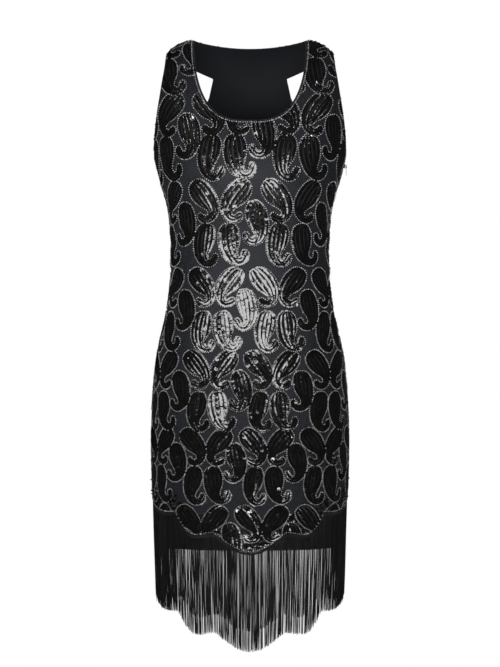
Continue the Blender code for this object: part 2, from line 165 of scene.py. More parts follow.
# Paisley repeat, charted. A leaf's edge runs round it in millimetres, tail at its foot.
LEAF_OUTER = (
    (4, 35), (-5, 34.5), (-13.5, 29.5), (-19, 19), (-21, 5), (-19.5, -9), (-14.5, -21),
    (-6, -30), (5, -34.5), (16, -33), (24, -26.5), (26.5, -18.5), (24, -12.5),
)
LEAF_INNER = (
    (4, 35), (12, 31), (16.5, 22), (17, 11), (14, -1), (9, -10), (6.5, -17), (9, -21.5),
    (13.5, -20.5), (15, -15.5), (18.5, -11.5), (24, -12.5),
)
Leaf = namedtuple("Leaf", "line share lean hook width shift")
REPEAT = (
    Leaf("pair", -0.270, 34, 1, 0.98, -0.0027),
    Leaf("pair", 0.270, -34, -1, 0.98, 0.0027),
    Leaf("foot", 0.0, -7, -1, 0.93, 0.0),
    Leaf("twin", 0.29, 6, 1, 0.92, 0.0),
    Leaf("twin", -0.35, -10, 1, 0.95, 0.0006),
)
# Depths of a repeat's three lines of leaves, where its middle stands, and its width and size
Repeat = namedtuple("Repeat", "pair foot twin middle width size")
REPEATS = (
    Repeat(-0.015, 0.024, 0.0615, 0.0300, 0.122, 1.09),
    Repeat(0.127, 0.166, 0.2015, 0.0217, 0.122, 1.09),
    Repeat(0.269, 0.307, 0.3420, 0.0106, 0.119, 1.03),
    Repeat(0.409, 0.448, 0.4836, -0.0049, 0.103, 0.97),
    Repeat(0.543, 0.579, 0.6124, -0.0145, 0.100, 0.94),
    Repeat(0.667, 0.6945, 0.7310, -0.0225, 0.098, 0.91),
    Repeat(0.791, 0.822, 0.8640, -0.0300, 0.098, 0.90),
)
SEQUIN_ROWS = 5
# In millimetres: leaf widths with room for fewer rows, the bare end of each row, and the steps
# round a leaf's edge in the map of the cloth
WIDE_LEAF, NARROW_LEAF, ROW_END_ROOM, MAP_EDGE_PITCH = 20, 9, 1.2, 1.5
# Repeats set out to each side of the middle, which is more than a panel holds
SPARE_REPEATS = 4
# Map of the flat cloth: its cells, where it starts, and its rows and columns
MASK_CELL = 0.001
MASK_ACROSS, MASK_DOWN = 0.30, 0.10
MASK_SHAPE = (1100, 600)

# Sequins and beads: their shape, how high they lie on the net, and how far from its edges
SEQUIN_SIDES, SEQUIN_BEND, SEQUIN_CUP = 10, 0.24, 0.05
SEQUIN_LIFT, SEQUIN_MARGIN, SEQUIN_SIZES = (0.0008, 0.0011), 0.0021, (0.96, 1.03)
BEAD_SIDES, BEAD_LIFT, BEAD_MARGIN, BEAD_SIZES = 5, 0.0003, 0.0015, (0.88, 1.08)
# A sequin's radius as a share of its row's width, the smallest, and how it sways on its thread
SEQUIN_SHARE, SMALLEST_SEQUIN, SEQUIN_LEAN = 0.56, 0.0019, math.radians(2)
LEAF_SWAY, BORDER_SWAY, LOOSE_SHARE, LOOSE_SWAY, LOOSE_HEIGHT = 0.03, 0.20, 0.12, 4.0, 0.2
# Lines of beads: how far they stray and lean, and where they run at hem and neck
BEAD_STRAY, BEAD_LEAN = 0.00015, 0.1
HEM_BEADS_REACH, HEM_BEADS_UP, NECK_BEADS_IN, NECK_BEADS_END = 0.24, 0.0022, 0.0029, 0.004
# Lines of sequins over the hem: the first, and from line to line and from sequin to sequin
BORDER_REACH, BORDER_START, BORDER_LINE, BORDER_PITCH = 0.26, 0.0026, 0.0040, 0.0034
# Their size against the others', how their headings turn across, and how they waver down
BORDER_SIZE, BORDER_TURN, BORDER_WAVER, BORDER_WAVE = 0.8, 180, 2.2, 0.006
SET_DOWN_STEP = 0.0006
SEQUIN_SEED, BEAD_SEED, FRINGE_SEED = 7, 19, 31

# Fringe: the cords behind as a share of those in front, the points and sides of a cord, and the
# clumps, which are more than a panel holds
BACK_CORDS, CORD_PLACES, CORD_SIDES, CLUMPS = 0.56, 11, 3, 240
# A cord's root strays along the hem, is tucked in under it, and lies within the tape
CORD_STRAY, CORD_TUCK, CORD_LAYERS = 0.0003, 0.0022, (0.0015, 0.0028)
# Clumps: from one to the next, and how far they close, against the settings
CLUMP_STEPS, CLUMP_CLOSING, CORD_CHANGE = (0.35, 1.9), (0.02, 0.40), (0.8, 1.2)
# Waves of a cord, each with its turn in radians and its reach: two to the side and one outwards
SIDE_WAVES, OUT_WAVE = ((5.3, 0.0003), (11.0, 0.0001)), (4.1, 0.0004)
SIDE_DRIFT, OUT_DRIFT, HANG_IN, LENGTH_CHANGE = 0.0004, 0.0009, 0.04, 0.0022
# Tape: how far it lies below the hem, and its rows from foot to top
TAPE_GAP, TAPE_STEPS = 0.0003, (0.0040, 0.0027, 0.0013, 0.0)

# Side zip, in the wearer's left seam
ZIP_TOP_DROP = 0.200
ZIP_END_DROP = 0.455
ZIP_SLOT_HALF = 0.0021
ZIP_SLOT_CLOSING = 0.018
ZIP_SIDE_ROOM, ZIP_END_ROOM = 0.0052, 0.01
# Coil: steps a turn, how far out from the figure, and what its turns reach out and to each side
COIL_STEPS, COIL_SIDES, COIL_TOP_ROOM, COIL_OUT, COIL_REACH_OUT = 9, 4, 0.001, 0.00215, 0.00055
COIL_APART, COIL_REACH_SIDE = 0.00045, 0.00085
ZIP_TAPE_WALL, ZIP_TAPE_HALF, ZIP_TAPE_TAIL, ZIP_TAPE_ROWS = (0.0011, 0.00145), 0.0030, 0.004, 60
SHARP_EDGE = math.radians(40)
FLOOR_RADIUS = 2.2


# Figure

def smooth_between(places, values, place):
    """A smooth curve through a table's values."""
    place = np.clip(place, places[0], places[-1])
    i = np.clip(np.searchsorted(places, place, side="right") - 1, 0, len(places) - 2)
    slopes = np.gradient(values, places)
    step = places[i + 1] - places[i]
    t = (place - places[i]) / step
    return (
        (1 + 2 * t) * (1 - t) ** 2 * values[i]
        + t * (1 - t) ** 2 * step * slopes[i]
        + t * t * (3 - 2 * t) * values[i + 1]
        + t * t * (t - 1) * step * slopes[i + 1]
    )


def half_width(drop):
    return smooth_between(FIGURE[0], FIGURE[1], drop)


def centre_depth(face, drop):
    return smooth_between(FIGURE[0], FIGURE[2 if face == FRONT else 3], drop)


def shoulder_fall(across):
    """How far the shoulder line lies below its inner end, and its slope there."""
    out = np.maximum((abs(across) - NECK_HALF_WIDTH) / (SHOULDER_TIP - NECK_HALF_WIDTH), 0)
    slope = SHOULDER_FALL * SHOULDER_FALL_POWER * out ** (SHOULDER_FALL_POWER - 1)
    slope /= SHOULDER_TIP - NECK_HALF_WIDTH
    return SHOULDER_FALL * out**SHOULDER_FALL_POWER, np.copysign(slope, across)


def unit(vectors):
    return vectors / np.maximum(np.linalg.norm(vectors, axis=-1, keepdims=True), 1e-12)


def lengths_along(points):
    """How far each point of a line, or of each of many lines, lies along it."""
    steps = np.linalg.norm(np.diff(points, axis=-2), axis=-1)
    return np.concatenate((np.zeros_like(steps[..., :1]), np.cumsum(steps, axis=-1)), -1)


def points_along(points, along, places):
    """Places on a line, at distances along it."""
    return np.stack([np.interp(places, along, values) for values in points.T], -1)


def even_path(points, pitch):
    """Places on a line that are a pitch apart along it."""
    along = lengths_along(points)
    return points_along(points, along, np.arange(0, along[-1], pitch))


def figure_points(face, angle, drop):
    across = half_width(drop) * np.sin(angle)
    below = np.clip((drop - shoulder_fall(across)[0]) / SHOULDER_ROUND, 0, 1)
    rise = np.sqrt(1 - (1 - below) ** 2)
    depth = centre_depth(face, drop) * rise * np.cos(angle)
    depth *= 1 + SIDE_FULLNESS * np.sin(angle) ** 2
    return np.stack((across, face * depth, -drop), -1)


def figure_normals(face, angle, drop):
    step = NORMAL_STEP
    along = figure_points(face, angle + step, drop) - figure_points(face, angle - step, drop)
    down = figure_points(face, angle, drop + step) - figure_points(face, angle, drop - step)
    normals = unit(face * np.cross(along, down))
    fall, slope = shoulder_fall(half_width(drop) * np.sin(angle))
    top = unit(np.stack((slope, np.zeros_like(slope), np.ones_like(slope)), -1))
    return np.where((drop - fall < SHOULDER_TOP)[..., None], top, normals)


def girth_tables(face):
    """Half girths by drop, and angles by drop and by the share of the way to the side seam."""
    drops = np.linspace(0, HEM_GIRTH_DROP, TABLE_DROPS)
    angles = np.linspace(0, math.pi / 2, TABLE_ANGLES)
    shares = np.linspace(0, 1, TABLE_SHARES)
    along = lengths_along(figure_points(face, *np.meshgrid(angles, drops)))
    inverse = [np.interp(shares, row / row[-1], angles) for row in along]
    return drops, along[:, -1], np.array(inverse)


GIRTHS = {face: girth_tables(face) for face in (FRONT, BACK)}


def half_girth(face, drop):
    return np.interp(drop, GIRTHS[face][0], GIRTHS[face][1])


def angle_at(face, across, drop):
    """The angle of a place that is so far across the cloth."""
    drops, _, inverse = GIRTHS[face]
    row = np.clip(drop / drops[1], 0, len(drops) - 1.001)
    share = np.clip(abs(across) / half_girth(face, drop), 0, 1) * (inverse.shape[1] - 1.001)
    r, c = row.astype(int), share.astype(int)
    y, x = row - r, share - c
    low = inverse[r, c] * (1 - x) + inverse[r, c + 1] * x
    high = inverse[r + 1, c] * (1 - x) + inverse[r + 1, c + 1] * x
    return np.copysign(low * (1 - y) + high * y, across)


def depth_table(face):
    """Drops against depths down the cloth, which is longer than its drop over the shoulder."""
    drops = SHOULDER_END * np.linspace(0, 1, LINE_SAMPLES) ** 2
    along = lengths_along(figure_points(face, np.zeros_like(drops), drops))
    return along - along[-1] + SHOULDER_END, drops


DEPTHS = {face: depth_table(face) for face in (FRONT, BACK)}


def drop_at(face, down):
    down = np.asarray(down, float)
    return np.where(down > SHOULDER_END, down, np.interp(down, *DEPTHS[face]))


def crease_height(face, angle, drop):
    across = abs(angle) / (math.pi / 2) * half_girth(face, drop)
    shift = np.where(angle > 0, *CREASE_SHIFTS)
    height = np.zeros_like(across)
    for middle, down, length, width, depth, lean in CREASES[face]:
        lean = math.radians(lean)
        x, y = across - middle, drop - down - shift
        along = x * math.sin(lean) + y * math.cos(lean)
        beside = x * math.cos(lean) - y * math.sin(lean)
        height += depth * np.exp(-((along / length) ** 2) - (beside / width) ** 2)
    return height


def cloth_points(face, angle, drop, out):
    """Places on a layer of cloth that lies so far out from the figure."""
    angle, drop = np.broadcast_arrays(np.asarray(angle, float), np.asarray(drop, float))
    lift = out + crease_height(face, angle, drop)
    return figure_points(face, angle, drop) + lift[..., None] * figure_normals(face, angle, drop)


def flat_to_worn(face, across, down, out):
    drop = drop_at(face, down)
    return cloth_points(face, angle_at(face, across, drop), drop, out)


# Outlines, for one half of a panel, as angles and drops

def angle_across(across, drop):
    return np.arcsin(np.clip(across / half_width(drop), -1, 1))


def hem_line(finer):
    """Angles and drops of the scalloped hem, with so many columns for each of the cut's."""
    shares, drops, start, before = [0.0], [], 0.0, SCALLOPS[0].cusp_drop
    for number, scallop in enumerate(SCALLOPS):
        count = scallop.columns * finer
        t = np.arange(1, count + 1) / count
        shares += list(start + (scallop.share_end - start) * t)
        start = scallop.share_end
        if number == 0:
            bulge = np.cos(math.pi / 2 * np.concatenate(([0], t)))
            drops += list(scallop.cusp_drop + scallop.belly * bulge)
        else:
            bulge = np.sin(math.pi * t**scallop.skew)
            drops += list(before + (scallop.cusp_drop - before) * t + scallop.belly * bulge)
        before = scallop.cusp_drop
    angles = np.linspace(0, math.pi / 2, CURVE_SAMPLES)
    along = lengths_along(figure_points(FRONT, angles, np.full_like(angles, HEM_GIRTH_DROP)))
    return np.interp(shares, along / along[-1], angles), np.array(drops)


def shoulder_seam(count):
    across = NECK_HALF_WIDTH + (SHOULDER_TIP - NECK_HALF_WIDTH) * np.arange(1, count + 1) / count
    return across, shoulder_fall(across)[0]


def front_top(finer):
    neck, shoulder, armhole = (count * finer for count in COLUMNS[FRONT])
    turns = np.linspace(0, math.pi / 2, CURVE_SAMPLES)
    scoop = np.stack((
        NECK_HALF_WIDTH * np.sin(turns) ** (2 / NECK_SQUARENESS),
        NECK_DROP * np.cos(turns).clip(0) ** (2 / NECK_ROUNDNESS),
    ), -1)
    along = lengths_along(scoop)
    places = along[-1] * (1 - (1 - np.arange(neck + 1) / neck) ** NECK_CROWDING)
    seam = np.stack(shoulder_seam(shoulder), -1)
    across, drops = np.concatenate((points_along(scoop, along, places), seam)).T
    forward = np.cos(angle_across(ARMHOLE_ACROSS, ARMHOLE_DROPS))
    forward[-1] = 0
    knots, places = np.arange(len(forward) + 1.0), np.arange(1, armhole + 1) / finer
    side_drop = smooth_between(knots, np.append(ARMHOLE_DROPS, ARMHOLE_NEXT_DROP), places)
    side = np.arccos(smooth_between(knots, np.append(forward, -forward[-2]), places).clip(0))
    return np.append(angle_across(across, drops), side), np.append(drops, side_drop)


def back_top(finer):
    neck, shoulder, _ = (count * finer for count in COLUMNS[BACK])
    share = np.arange(neck + 1) / neck
    seam_across, seam_drop = shoulder_seam(shoulder)
    across = np.concatenate((NECK_HALF_WIDTH * share, seam_across))
    drops = np.concatenate((BACK_NECK_DROP * (1 - share**2), seam_drop))
    return angle_across(across, drops), drops


def racer_row(finer):
    """The narrowest row of the back, and the armhole edges below it."""
    neck, shoulder, armhole = (count * finer for count in COLUMNS[BACK])
    share = np.arange(neck + shoulder + 1) / (neck + shoulder)
    turn = math.pi / 2 * np.arange(1, armhole + 1) / armhole
    wide = half_width(UNDERARM_DROP) - RACER_ACROSS
    flare = RACER_ACROSS + wide * (1 - np.cos(turn).clip(0) ** RACER_FLARE)
    across = np.concatenate((RACER_ACROSS * share, flare))
    inner = RACER_MIDDLE_DROP + (RACER_DROP - RACER_MIDDLE_DROP) * share**2
    drops = np.concatenate((inner, RACER_DROP + (UNDERARM_DROP - RACER_DROP) * np.sin(turn)))
    angles = angle_across(across, drops)
    angles[-1] = math.pi / 2
    return angles, drops


def rows_between(low, high, count, crowding=1.0):
    """Rows from one outline towards another, without the first, closer together at the end."""
    t = 1 - (1 - np.arange(1, count + 1) / count) ** crowding
    return [(low[0] + (high[0] - low[0]) * u, low[1] + (high[1] - low[1]) * u) for u in t]


def panel_rows(face, hem, body_rows):
    """Rows of angles and drops for one half of a panel, from its hem to its top."""
    columns = hem_line(FINER)[0]

    def straight(drop):
        return columns, np.full_like(columns, drop)

    rows = [hem] + rows_between(hem, straight(STRAIGHT_END_DROP), body_rows // 6)
    rows += rows_between(straight(STRAIGHT_END_DROP), straight(YOKE_DROP), body_rows)
    yoke_rows = body_rows // 2
    if face == FRONT:
        return rows + rows_between(rows[-1], front_top(FINER), yoke_rows, YOKE_CROWDING)
    rows += rows_between(rows[-1], racer_row(FINER), yoke_rows)
    top = back_top(FINER)
    narrow = tuple(part[: len(top[0])] for part in rows[-1])
    return rows + rows_between(narrow, top, yoke_rows // 2, YOKE_CROWDING)


HEM, FRONT_TOP = hem_line(FINEST), front_top(FINEST)
BACK_TOP, RACER = back_top(FINEST), racer_row(FINEST)
RACER_ANGLE = float(angle_across(np.array(RACER_ACROSS), np.array(RACER_DROP)))
TIP_ANGLE = float(BACK_TOP[0][-1])


def hem_under(face, across):
    """Angles and drops of the scalloped hem under places that are so far across the cloth."""
    angles = angle_at(face, across, np.full_like(across, HEM_READ_DROP))
    return angles, np.interp(abs(angles), *HEM)


def on_panel(face, across, down, margin):
    """Whether a place on the flat cloth lies on its panel, so far in from every edge."""
    within = np.ones(np.shape(across), bool)
    for x, y in ((1, 0), (-1, 0), (0, 1), (0, -1)):
        drop = drop_at(face, down + y * margin)
        side = across + x * margin
        within &= (abs(side) < half_girth(face, drop)) & (down + y * margin > DEPTHS[face][0][0])
        angle = abs(angle_at(face, side, drop))
        within &= drop < np.interp(angle, *HEM)
        if face == FRONT:
            within &= drop > np.interp(angle, *FRONT_TOP)
        else:
            slant = np.interp(angle, (RACER_ANGLE, TIP_ANGLE), (RACER_DROP, BACK_TOP[1][-1]))
            yoke = (drop > np.interp(angle, *BACK_TOP)) & (angle < TIP_ANGLE)
            yoke &= (angle < RACER_ANGLE) | (drop < slant)
            within &= yoke | (drop > np.interp(angle, *RACER))
    slot = (across > 0) & (down > ZIP_TOP_DROP - ZIP_END_ROOM)
    slot &= down < ZIP_END_DROP + ZIP_END_ROOM
    return within & ~(slot & (across > half_girth(face, drop_at(face, down)) - ZIP_SIDE_ROOM))


# Meshes

def new_piece(name, points, faces, material, crease=None):
    """A piece from its points and its faces, which all have the same number of corners."""
    mesh = bpy.data.meshes.new(name)
    mesh.vertices.add(len(points))
    mesh.vertices.foreach_set("co", np.ascontiguousarray(points, np.float32).ravel())
    mesh.loops.add(faces.size)
    mesh.loops.foreach_set("vertex_index", np.ascontiguousarray(faces, np.int32).ravel())
    mesh.polygons.add(len(faces))
    starts = np.arange(0, faces.size, faces.shape[1], dtype=np.int32)
    mesh.polygons.foreach_set("loop_start", starts)
    mesh.update(calc_edges=True)
    if mesh.validate():
        raise RuntimeError(f"{name} has faces that don't join up")
    mesh.shade_smooth()
    if crease:
        mesh.set_sharp_from_angle(angle=crease)
    mesh.materials.append(material)
    piece = bpy.data.objects.new(name, mesh)
    bpy.context.scene.collection.objects.link(piece)
    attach(piece, "dress")
    return piece


def spread_rows(rows):
    """Angles and drops of a whole panel, side to side, with nan where a row is narrower."""
    width = max(len(row[0]) for row in rows)
    angles = np.full((len(rows), 2 * width - 1), np.nan)
    drops = angles.copy()
    for r, (angle, drop) in enumerate(rows):
        count = len(angle)
        angles[r, width - 1 : width - 1 + count] = angle
        drops[r, width - 1 : width - 1 + count] = drop
        angles[r, width - count : width] = -angle[::-1]
        drops[r, width - count : width] = drop[::-1]
    return angles, drops


def seam_half_gap(drop, side, slotted):
    """Half of the gap at a side seam. The sequined panels leave a slot for the zip."""
    if not slotted:
        return np.full_like(drop, SEAM_GAP)
    closing = np.clip((drop - ZIP_END_DROP) / ZIP_SLOT_CLOSING, 0, 1)
    slot = ZIP_SLOT_HALF + (SEAM_GAP - ZIP_SLOT_HALF) * closing
    return np.where(side > 0, slot, SEAM_GAP)


def cloth_shell(name, face, rows, wall, slotted, material):
    """A closed thin shell of cloth over a panel's rows."""
    angles, drops = spread_rows(rows)
    there = ~np.isnan(angles)
    number = np.where(there, np.cumsum(there.ravel()).reshape(there.shape) - 1, -1)
    angle, drop = angles[there], drops[there]
    gap = np.where(abs(angle) > SEAM_ANGLE, seam_half_gap(drop, angle, slotted), 0)
    layers = []
    for out in (wall[1], wall[0]):
        points = cloth_points(face, angle, drop, out)
        points[:, 1] += face * gap
        layers.append(points)
    corners = (number[:-1, :-1], number[:-1, 1:], number[1:, 1:], number[1:, :-1])
    cells = np.stack(corners, -1).reshape(-1, 4)
    cells = cells[(cells >= 0).all(1)]
    if face == BACK:
        cells = cells[:, ::-1]
    count = len(angle)
    edges = np.concatenate([cells[:, [k, (k + 1) % 4]] for k in range(4)])
    keys = edges[:, 0] * count + edges[:, 1]
    lone = edges[~np.isin(keys, edges[:, 1] * count + edges[:, 0])]
    rim = np.stack((lone[:, 1], lone[:, 0], lone[:, 0] + count, lone[:, 1] + count), -1)
    faces = np.concatenate((cells, cells[:, ::-1] + count, rim))
    points = np.concatenate(layers)
    return new_piece(name, points, faces, material, SHARP_EDGE)


def tubes(paths, radii, sides, up):
    """Points and faces of round cords along paths, given as cords by places by x, y, z."""
    ahead = unit(np.gradient(paths, axis=1))
    right = np.broadcast_to(up, paths.shape)
    right = unit(right - (right * ahead).sum(-1, keepdims=True) * ahead)
    over = np.cross(ahead, right)
    turns = 2 * math.pi * np.arange(sides) / sides
    ring = np.cos(turns)[:, None] * right[:, :, None] + np.sin(turns)[:, None] * over[:, :, None]
    radii = np.broadcast_to(radii, paths.shape[:2])
    points = paths[:, :, None] + radii[:, :, None, None] * ring
    cords, places = paths.shape[:2]
    first = ((np.arange(cords)[:, None] * places + np.arange(places - 1)) * sides)[..., None]
    near = np.arange(sides)
    far = (near + 1) % sides
    faces = np.stack((first + near, first + far, first + sides + far, first + sides + near), -1)
    return points.reshape(-1, 3), faces.reshape(-1, 4)


def scattered(template, faces, centres, axes, sizes):
    """Copies of one small shape, each with its own place, axes and size."""
    scaled = template[None] * sizes[:, None, None]
    points = centres[:, None] + np.einsum("nvk,nkx->nvx", scaled, axes)
    count = len(template)
    offsets = (np.arange(len(centres)) * count)[:, None, None]
    return points.reshape(-1, 3), (faces[None] + offsets).reshape(-1, faces.shape[1])


def sequin_shape():
    """A disc of unit radius, bent down to both sides of its row and cupped a little along it."""
    turns = 2 * math.pi * np.arange(SEQUIN_SIDES) / SEQUIN_SIDES
    across, along = np.sin(turns), np.cos(turns)
    ring = np.stack((along, across, SEQUIN_CUP * along**2 - SEQUIN_BEND * across**2), -1)
    faces = [(0, 1 + k, 1 + (k + 1) % SEQUIN_SIDES) for k in range(SEQUIN_SIDES)]
    return np.concatenate((np.zeros((1, 3)), ring)), np.array(faces)


def bead_shape():
    """A round bead of unit radius that stands on the cloth."""
    sides = BEAD_SIDES
    turns = 2 * math.pi * np.arange(sides) / sides
    low = np.stack((np.cos(turns), np.sin(turns), np.full(sides, 0.15)), -1)
    turns = turns + math.pi / sides
    high = np.stack((0.78 * np.cos(turns), 0.78 * np.sin(turns), np.full(sides, 0.85)), -1)
    faces = []
    for k in range(sides):
        n = (k + 1) % sides
        faces += [(k, n, sides + k), (n, sides + n, sides + k), (sides + k, sides + n, 2 * sides)]
    return np.concatenate((low, high, ((0.0, 0.0, 1.2),))), np.array(faces)


# Paisley leaves on the flat cloth

def smooth_line(points, count):
    """A smooth open line through given points, in even steps."""
    points = np.array(points, float)
    knots = np.arange(len(points), dtype=float)
    t = np.linspace(0, len(points) - 1, 40 * len(points))
    fine = np.stack([smooth_between(knots, points[:, k], t) for k in (0, 1)], -1)
    along = lengths_along(fine)
    return points_along(fine, along, np.linspace(0, along[-1], count))


def leaf_sequins(pitch):
    """Places and headings of one leaf's sequins, in rows that run its length, in metres."""
    outer, inner = (smooth_line(line, LINE_SAMPLES) for line in (LEAF_OUTER, LEAF_INNER))
    width = np.hypot(*(outer - inner).T)
    found = []
    for row in range(SEQUIN_ROWS):
        share = (row + 0.5) / SEQUIN_ROWS
        line = outer + (inner - outer) * share
        along = lengths_along(line)
        places = np.arange(pitch * (0.6 + 0.5 * (row % 2)), along[-1] - ROW_END_ROOM, pitch)
        spot = points_along(line, along, places)
        ahead = points_along(line, along, places + 0.5)
        room = np.interp(places, along, width)
        # A narrow part has room for fewer rows
        apart = room / SEQUIN_ROWS * np.where(room < WIDE_LEAF, 2, 1)
        if row != SEQUIN_ROWS // 2:
            keep = room >= (WIDE_LEAF if row % 2 else NARROW_LEAF)
        else:
            keep = room > 0
            apart = np.where(room < NARROW_LEAF, room, apart)
        number = np.full_like(room, row)
        found.append(
            np.column_stack((spot / 1000, unit(ahead - spot), apart / 1000, number))[keep]
        )
    return np.concatenate(found)


def leaf_edge(pitch):
    """Places round a leaf's edge, in metres, for its outline of beads."""
    outer, inner = (smooth_line(line, LINE_SAMPLES) for line in (LEAF_OUTER, LEAF_INNER))
    return even_path(np.concatenate((outer, inner[::-1])), pitch) / 1000


def placed_leaves(face):
    """Every leaf of a panel: middle across and down, then the two rows of its turning matrix."""
    leaves = []
    for repeat in REPEATS:
        for count in range(-SPARE_REPEATS, SPARE_REPEATS + 1):
            for leaf in REPEAT:
                across = repeat.middle * -face + (count + leaf.share) * repeat.width + leaf.shift
                lean, wide = math.radians(leaf.lean), leaf.hook * leaf.width
                turning = np.array((
                    (wide * math.cos(lean), -wide * math.sin(lean)),
                    (math.sin(lean), math.cos(lean)),
                ))
                place = (across, getattr(repeat, leaf.line))
                leaves.append((place, turning * repeat.size))
    return leaves


def lay_leaf(leaf, places):
    """Places of a leaf turned and set down on the flat cloth, where down is positive."""
    (across, down), turning = leaf
    laid = places @ turning
    return across + laid[:, 0], down - laid[:, 1]


def mask_cells(across, down):
    row = np.clip(((down + MASK_DOWN) / MASK_CELL).astype(int), 0, MASK_SHAPE[0] - 1)
    column = np.clip(((across + MASK_ACROSS) / MASK_CELL).astype(int), 0, MASK_SHAPE[1] - 1)
    return row, column


def claim_cloth(leaves):
    """A map of the flat cloth that says which leaf covers each square millimetre."""
    claims = np.full(MASK_SHAPE, -1)
    edge = leaf_edge(MAP_EDGE_PITCH)
    for number, leaf in enumerate(leaves):
        across, down = lay_leaf(leaf, edge)
        rows, columns = mask_cells(across, down)
        r, c = np.meshgrid(
            np.arange(rows.min(), rows.max() + 1), np.arange(columns.min(), columns.max() + 1),
            indexing="ij",
        )
        x, y = (c + 0.5) * MASK_CELL - MASK_ACROSS, (r + 0.5) * MASK_CELL - MASK_DOWN
        inside = np.zeros(x.shape, bool)
        for x0, y0, x1, y1 in zip(across, down, np.roll(across, -1), np.roll(down, -1)):
            if y0 != y1:
                cross = ((y0 > y) != (y1 > y)) & (x < (x1 - x0) * (y - y0) / (y1 - y0) + x0)
                inside ^= cross
        free = inside & (claims[r, c] < 0)
        claims[r[free], c[free]] = number
    return claims


def set_down(face, across, down, heading, out, lean, roll):
    """Places and axes on the worn cloth of shapes set down on the flat cloth.

    A lean tips a shape forward along its heading, and a roll tips it sideways.
    """
    centres = flat_to_worn(face, across, down, out)
    east = flat_to_worn(face, across + SET_DOWN_STEP, down, out) - centres
    south = flat_to_worn(face, across, down + SET_DOWN_STEP, out) - centres
    ahead = unit(heading[:, :1] * unit(east) - heading[:, 1:] * unit(south))
    normal = unit(face * np.cross(east, south))
    left = np.cross(normal, ahead)
    normal = unit(normal - ahead * np.tan(lean)[:, None] + left * np.tan(roll)[:, None])
    ahead = unit(ahead - (ahead * normal).sum(-1, keepdims=True) * normal)
    return centres, np.stack((ahead, np.cross(normal, ahead), normal), 1)


def edge_lines(face):
    """The free edges of a panel's top, each as angles and drops from end to end."""
    neck, shoulder, _ = (count * FINEST for count in COLUMNS[face])
    top = FRONT_TOP if face == FRONT else BACK_TOP
    angles, drops = (part[: neck + 1] for part in top)
    middle = (np.concatenate((-angles[:0:-1], angles)), np.concatenate((drops[:0:-1], drops)))
    if face == FRONT:
        arm = [part[neck + shoulder :] for part in top]
    else:
        arm = [
            np.concatenate((np.linspace(tip[-1], corner, 24)[:-1], row[neck + shoulder :]))
            for tip, corner, row in zip(top, (RACER_ANGLE, RACER_DROP), RACER)
        ]
    return [middle, arm, (-arm[0], arm[1])]


# Shader nodes

class Tree:
    """Adds nodes to a node tree and joins their sockets by name or by number."""

    def __init__(self, tree):
        self.tree = tree

    def node(self, kind, values=(), **settings):
        made = self.tree.nodes.new(kind)
        for key, value in settings.items():
            setattr(made, key, value)
        self.join(made.inputs, dict(values))
        return made

    def join(self, sockets, values):
        """Links each socket to another node's output, or sets its own value."""
        for key, value in values.items():
            socket = sockets[key]
            if isinstance(value, bpy.types.NodeSocket):
                self.tree.links.new(value, socket)
            else:
                socket.default_value = (*value[:3], 1.0) if socket.type == "RGBA" else value

    def shader(self):
        return self.tree.nodes["Principled BSDF"].inputs

    def maths(self, operation, *values):
        return self.node("ShaderNodeMath", enumerate(values), operation=operation).outputs[0]

    def blend(self, factor, low, high):
        mixed = self.node("ShaderNodeMix", {0: factor, 6: low, 7: high}, data_type="RGBA")
        return mixed.outputs[2]

    def spread(self, value, low, high, new_low=0.0, new_high=1.0):
        values = {0: value, 1: low, 2: high, 3: new_low, 4: new_high}
        return self.node("ShaderNodeMapRange", values).outputs[0]

    def noise(self, places, scale, detail):
        values = {"Vector": places, "Scale": scale, "Detail": detail}
        return self.node("ShaderNodeTexNoise", values).outputs[0]

    def object_places(self):
        return self.node("ShaderNodeTexCoord").outputs["Object"]

    def camera_ray(self):
        return self.node("ShaderNodeLightPath").outputs["Is Camera Ray"]


SOCKETS = {"colour": "NodeSocketColor", "number": "NodeSocketFloat"}


def effect(inputs, outputs):
    """Makes a function that fills a tree into one that gives its node group, built once.

    The function gets the tree and the group's inputs, and returns its outputs by name.
    """
    def wrap(fill):
        def group():
            name = fill.__name__
            if name in bpy.data.node_groups:
                return bpy.data.node_groups[name]
            made = bpy.data.node_groups.new(name, "ShaderNodeTree")
            for way, sockets in (("INPUT", inputs), ("OUTPUT", outputs)):
                for socket, kind in sockets.items():
                    made.interface.new_socket(socket, in_out=way, socket_type=SOCKETS[kind])
            tree = Tree(made)
            given = tree.node("NodeGroupInput").outputs
            out = tree.node("NodeGroupOutput").inputs
            tree.join(out, fill(tree, given))
            return made
        return group
    return wrap


@effect(
    {"Ground": "colour", "Dot": "colour", "Dots per metre": "number", "Shade": "number"},
    {"Colour": "colour", "Height": "number"},
)
def dotted_net(tree, given):
    """Cloth with fine raised dots, and slow changes of shade: for the net and the lining."""
    places = tree.object_places()
    cells = tree.node("ShaderNodeTexVoronoi", {"Vector": places, "Scale": given["Dots per metre"]})
    dots = tree.spread(cells.outputs["Distance"], 0.20, 0.42, 1.0, 0.0)
    cloud = tree.noise(places, 14.0, 4.0)
    shade = tree.maths("MULTIPLY_ADD", tree.maths("SUBTRACT", cloud, 0.5), given["Shade"], 1.0)
    colour = tree.blend(dots, given["Ground"], given["Dot"])
    dark = tree.node("ShaderNodeVectorMath", {0: colour, "Scale": shade}, operation="SCALE")
    fine = tree.noise(places, 1400.0, 2.0)
    return {"Colour": dark.outputs[0], "Height": tree.maths("MULTIPLY_ADD", fine, 0.4, dots)}


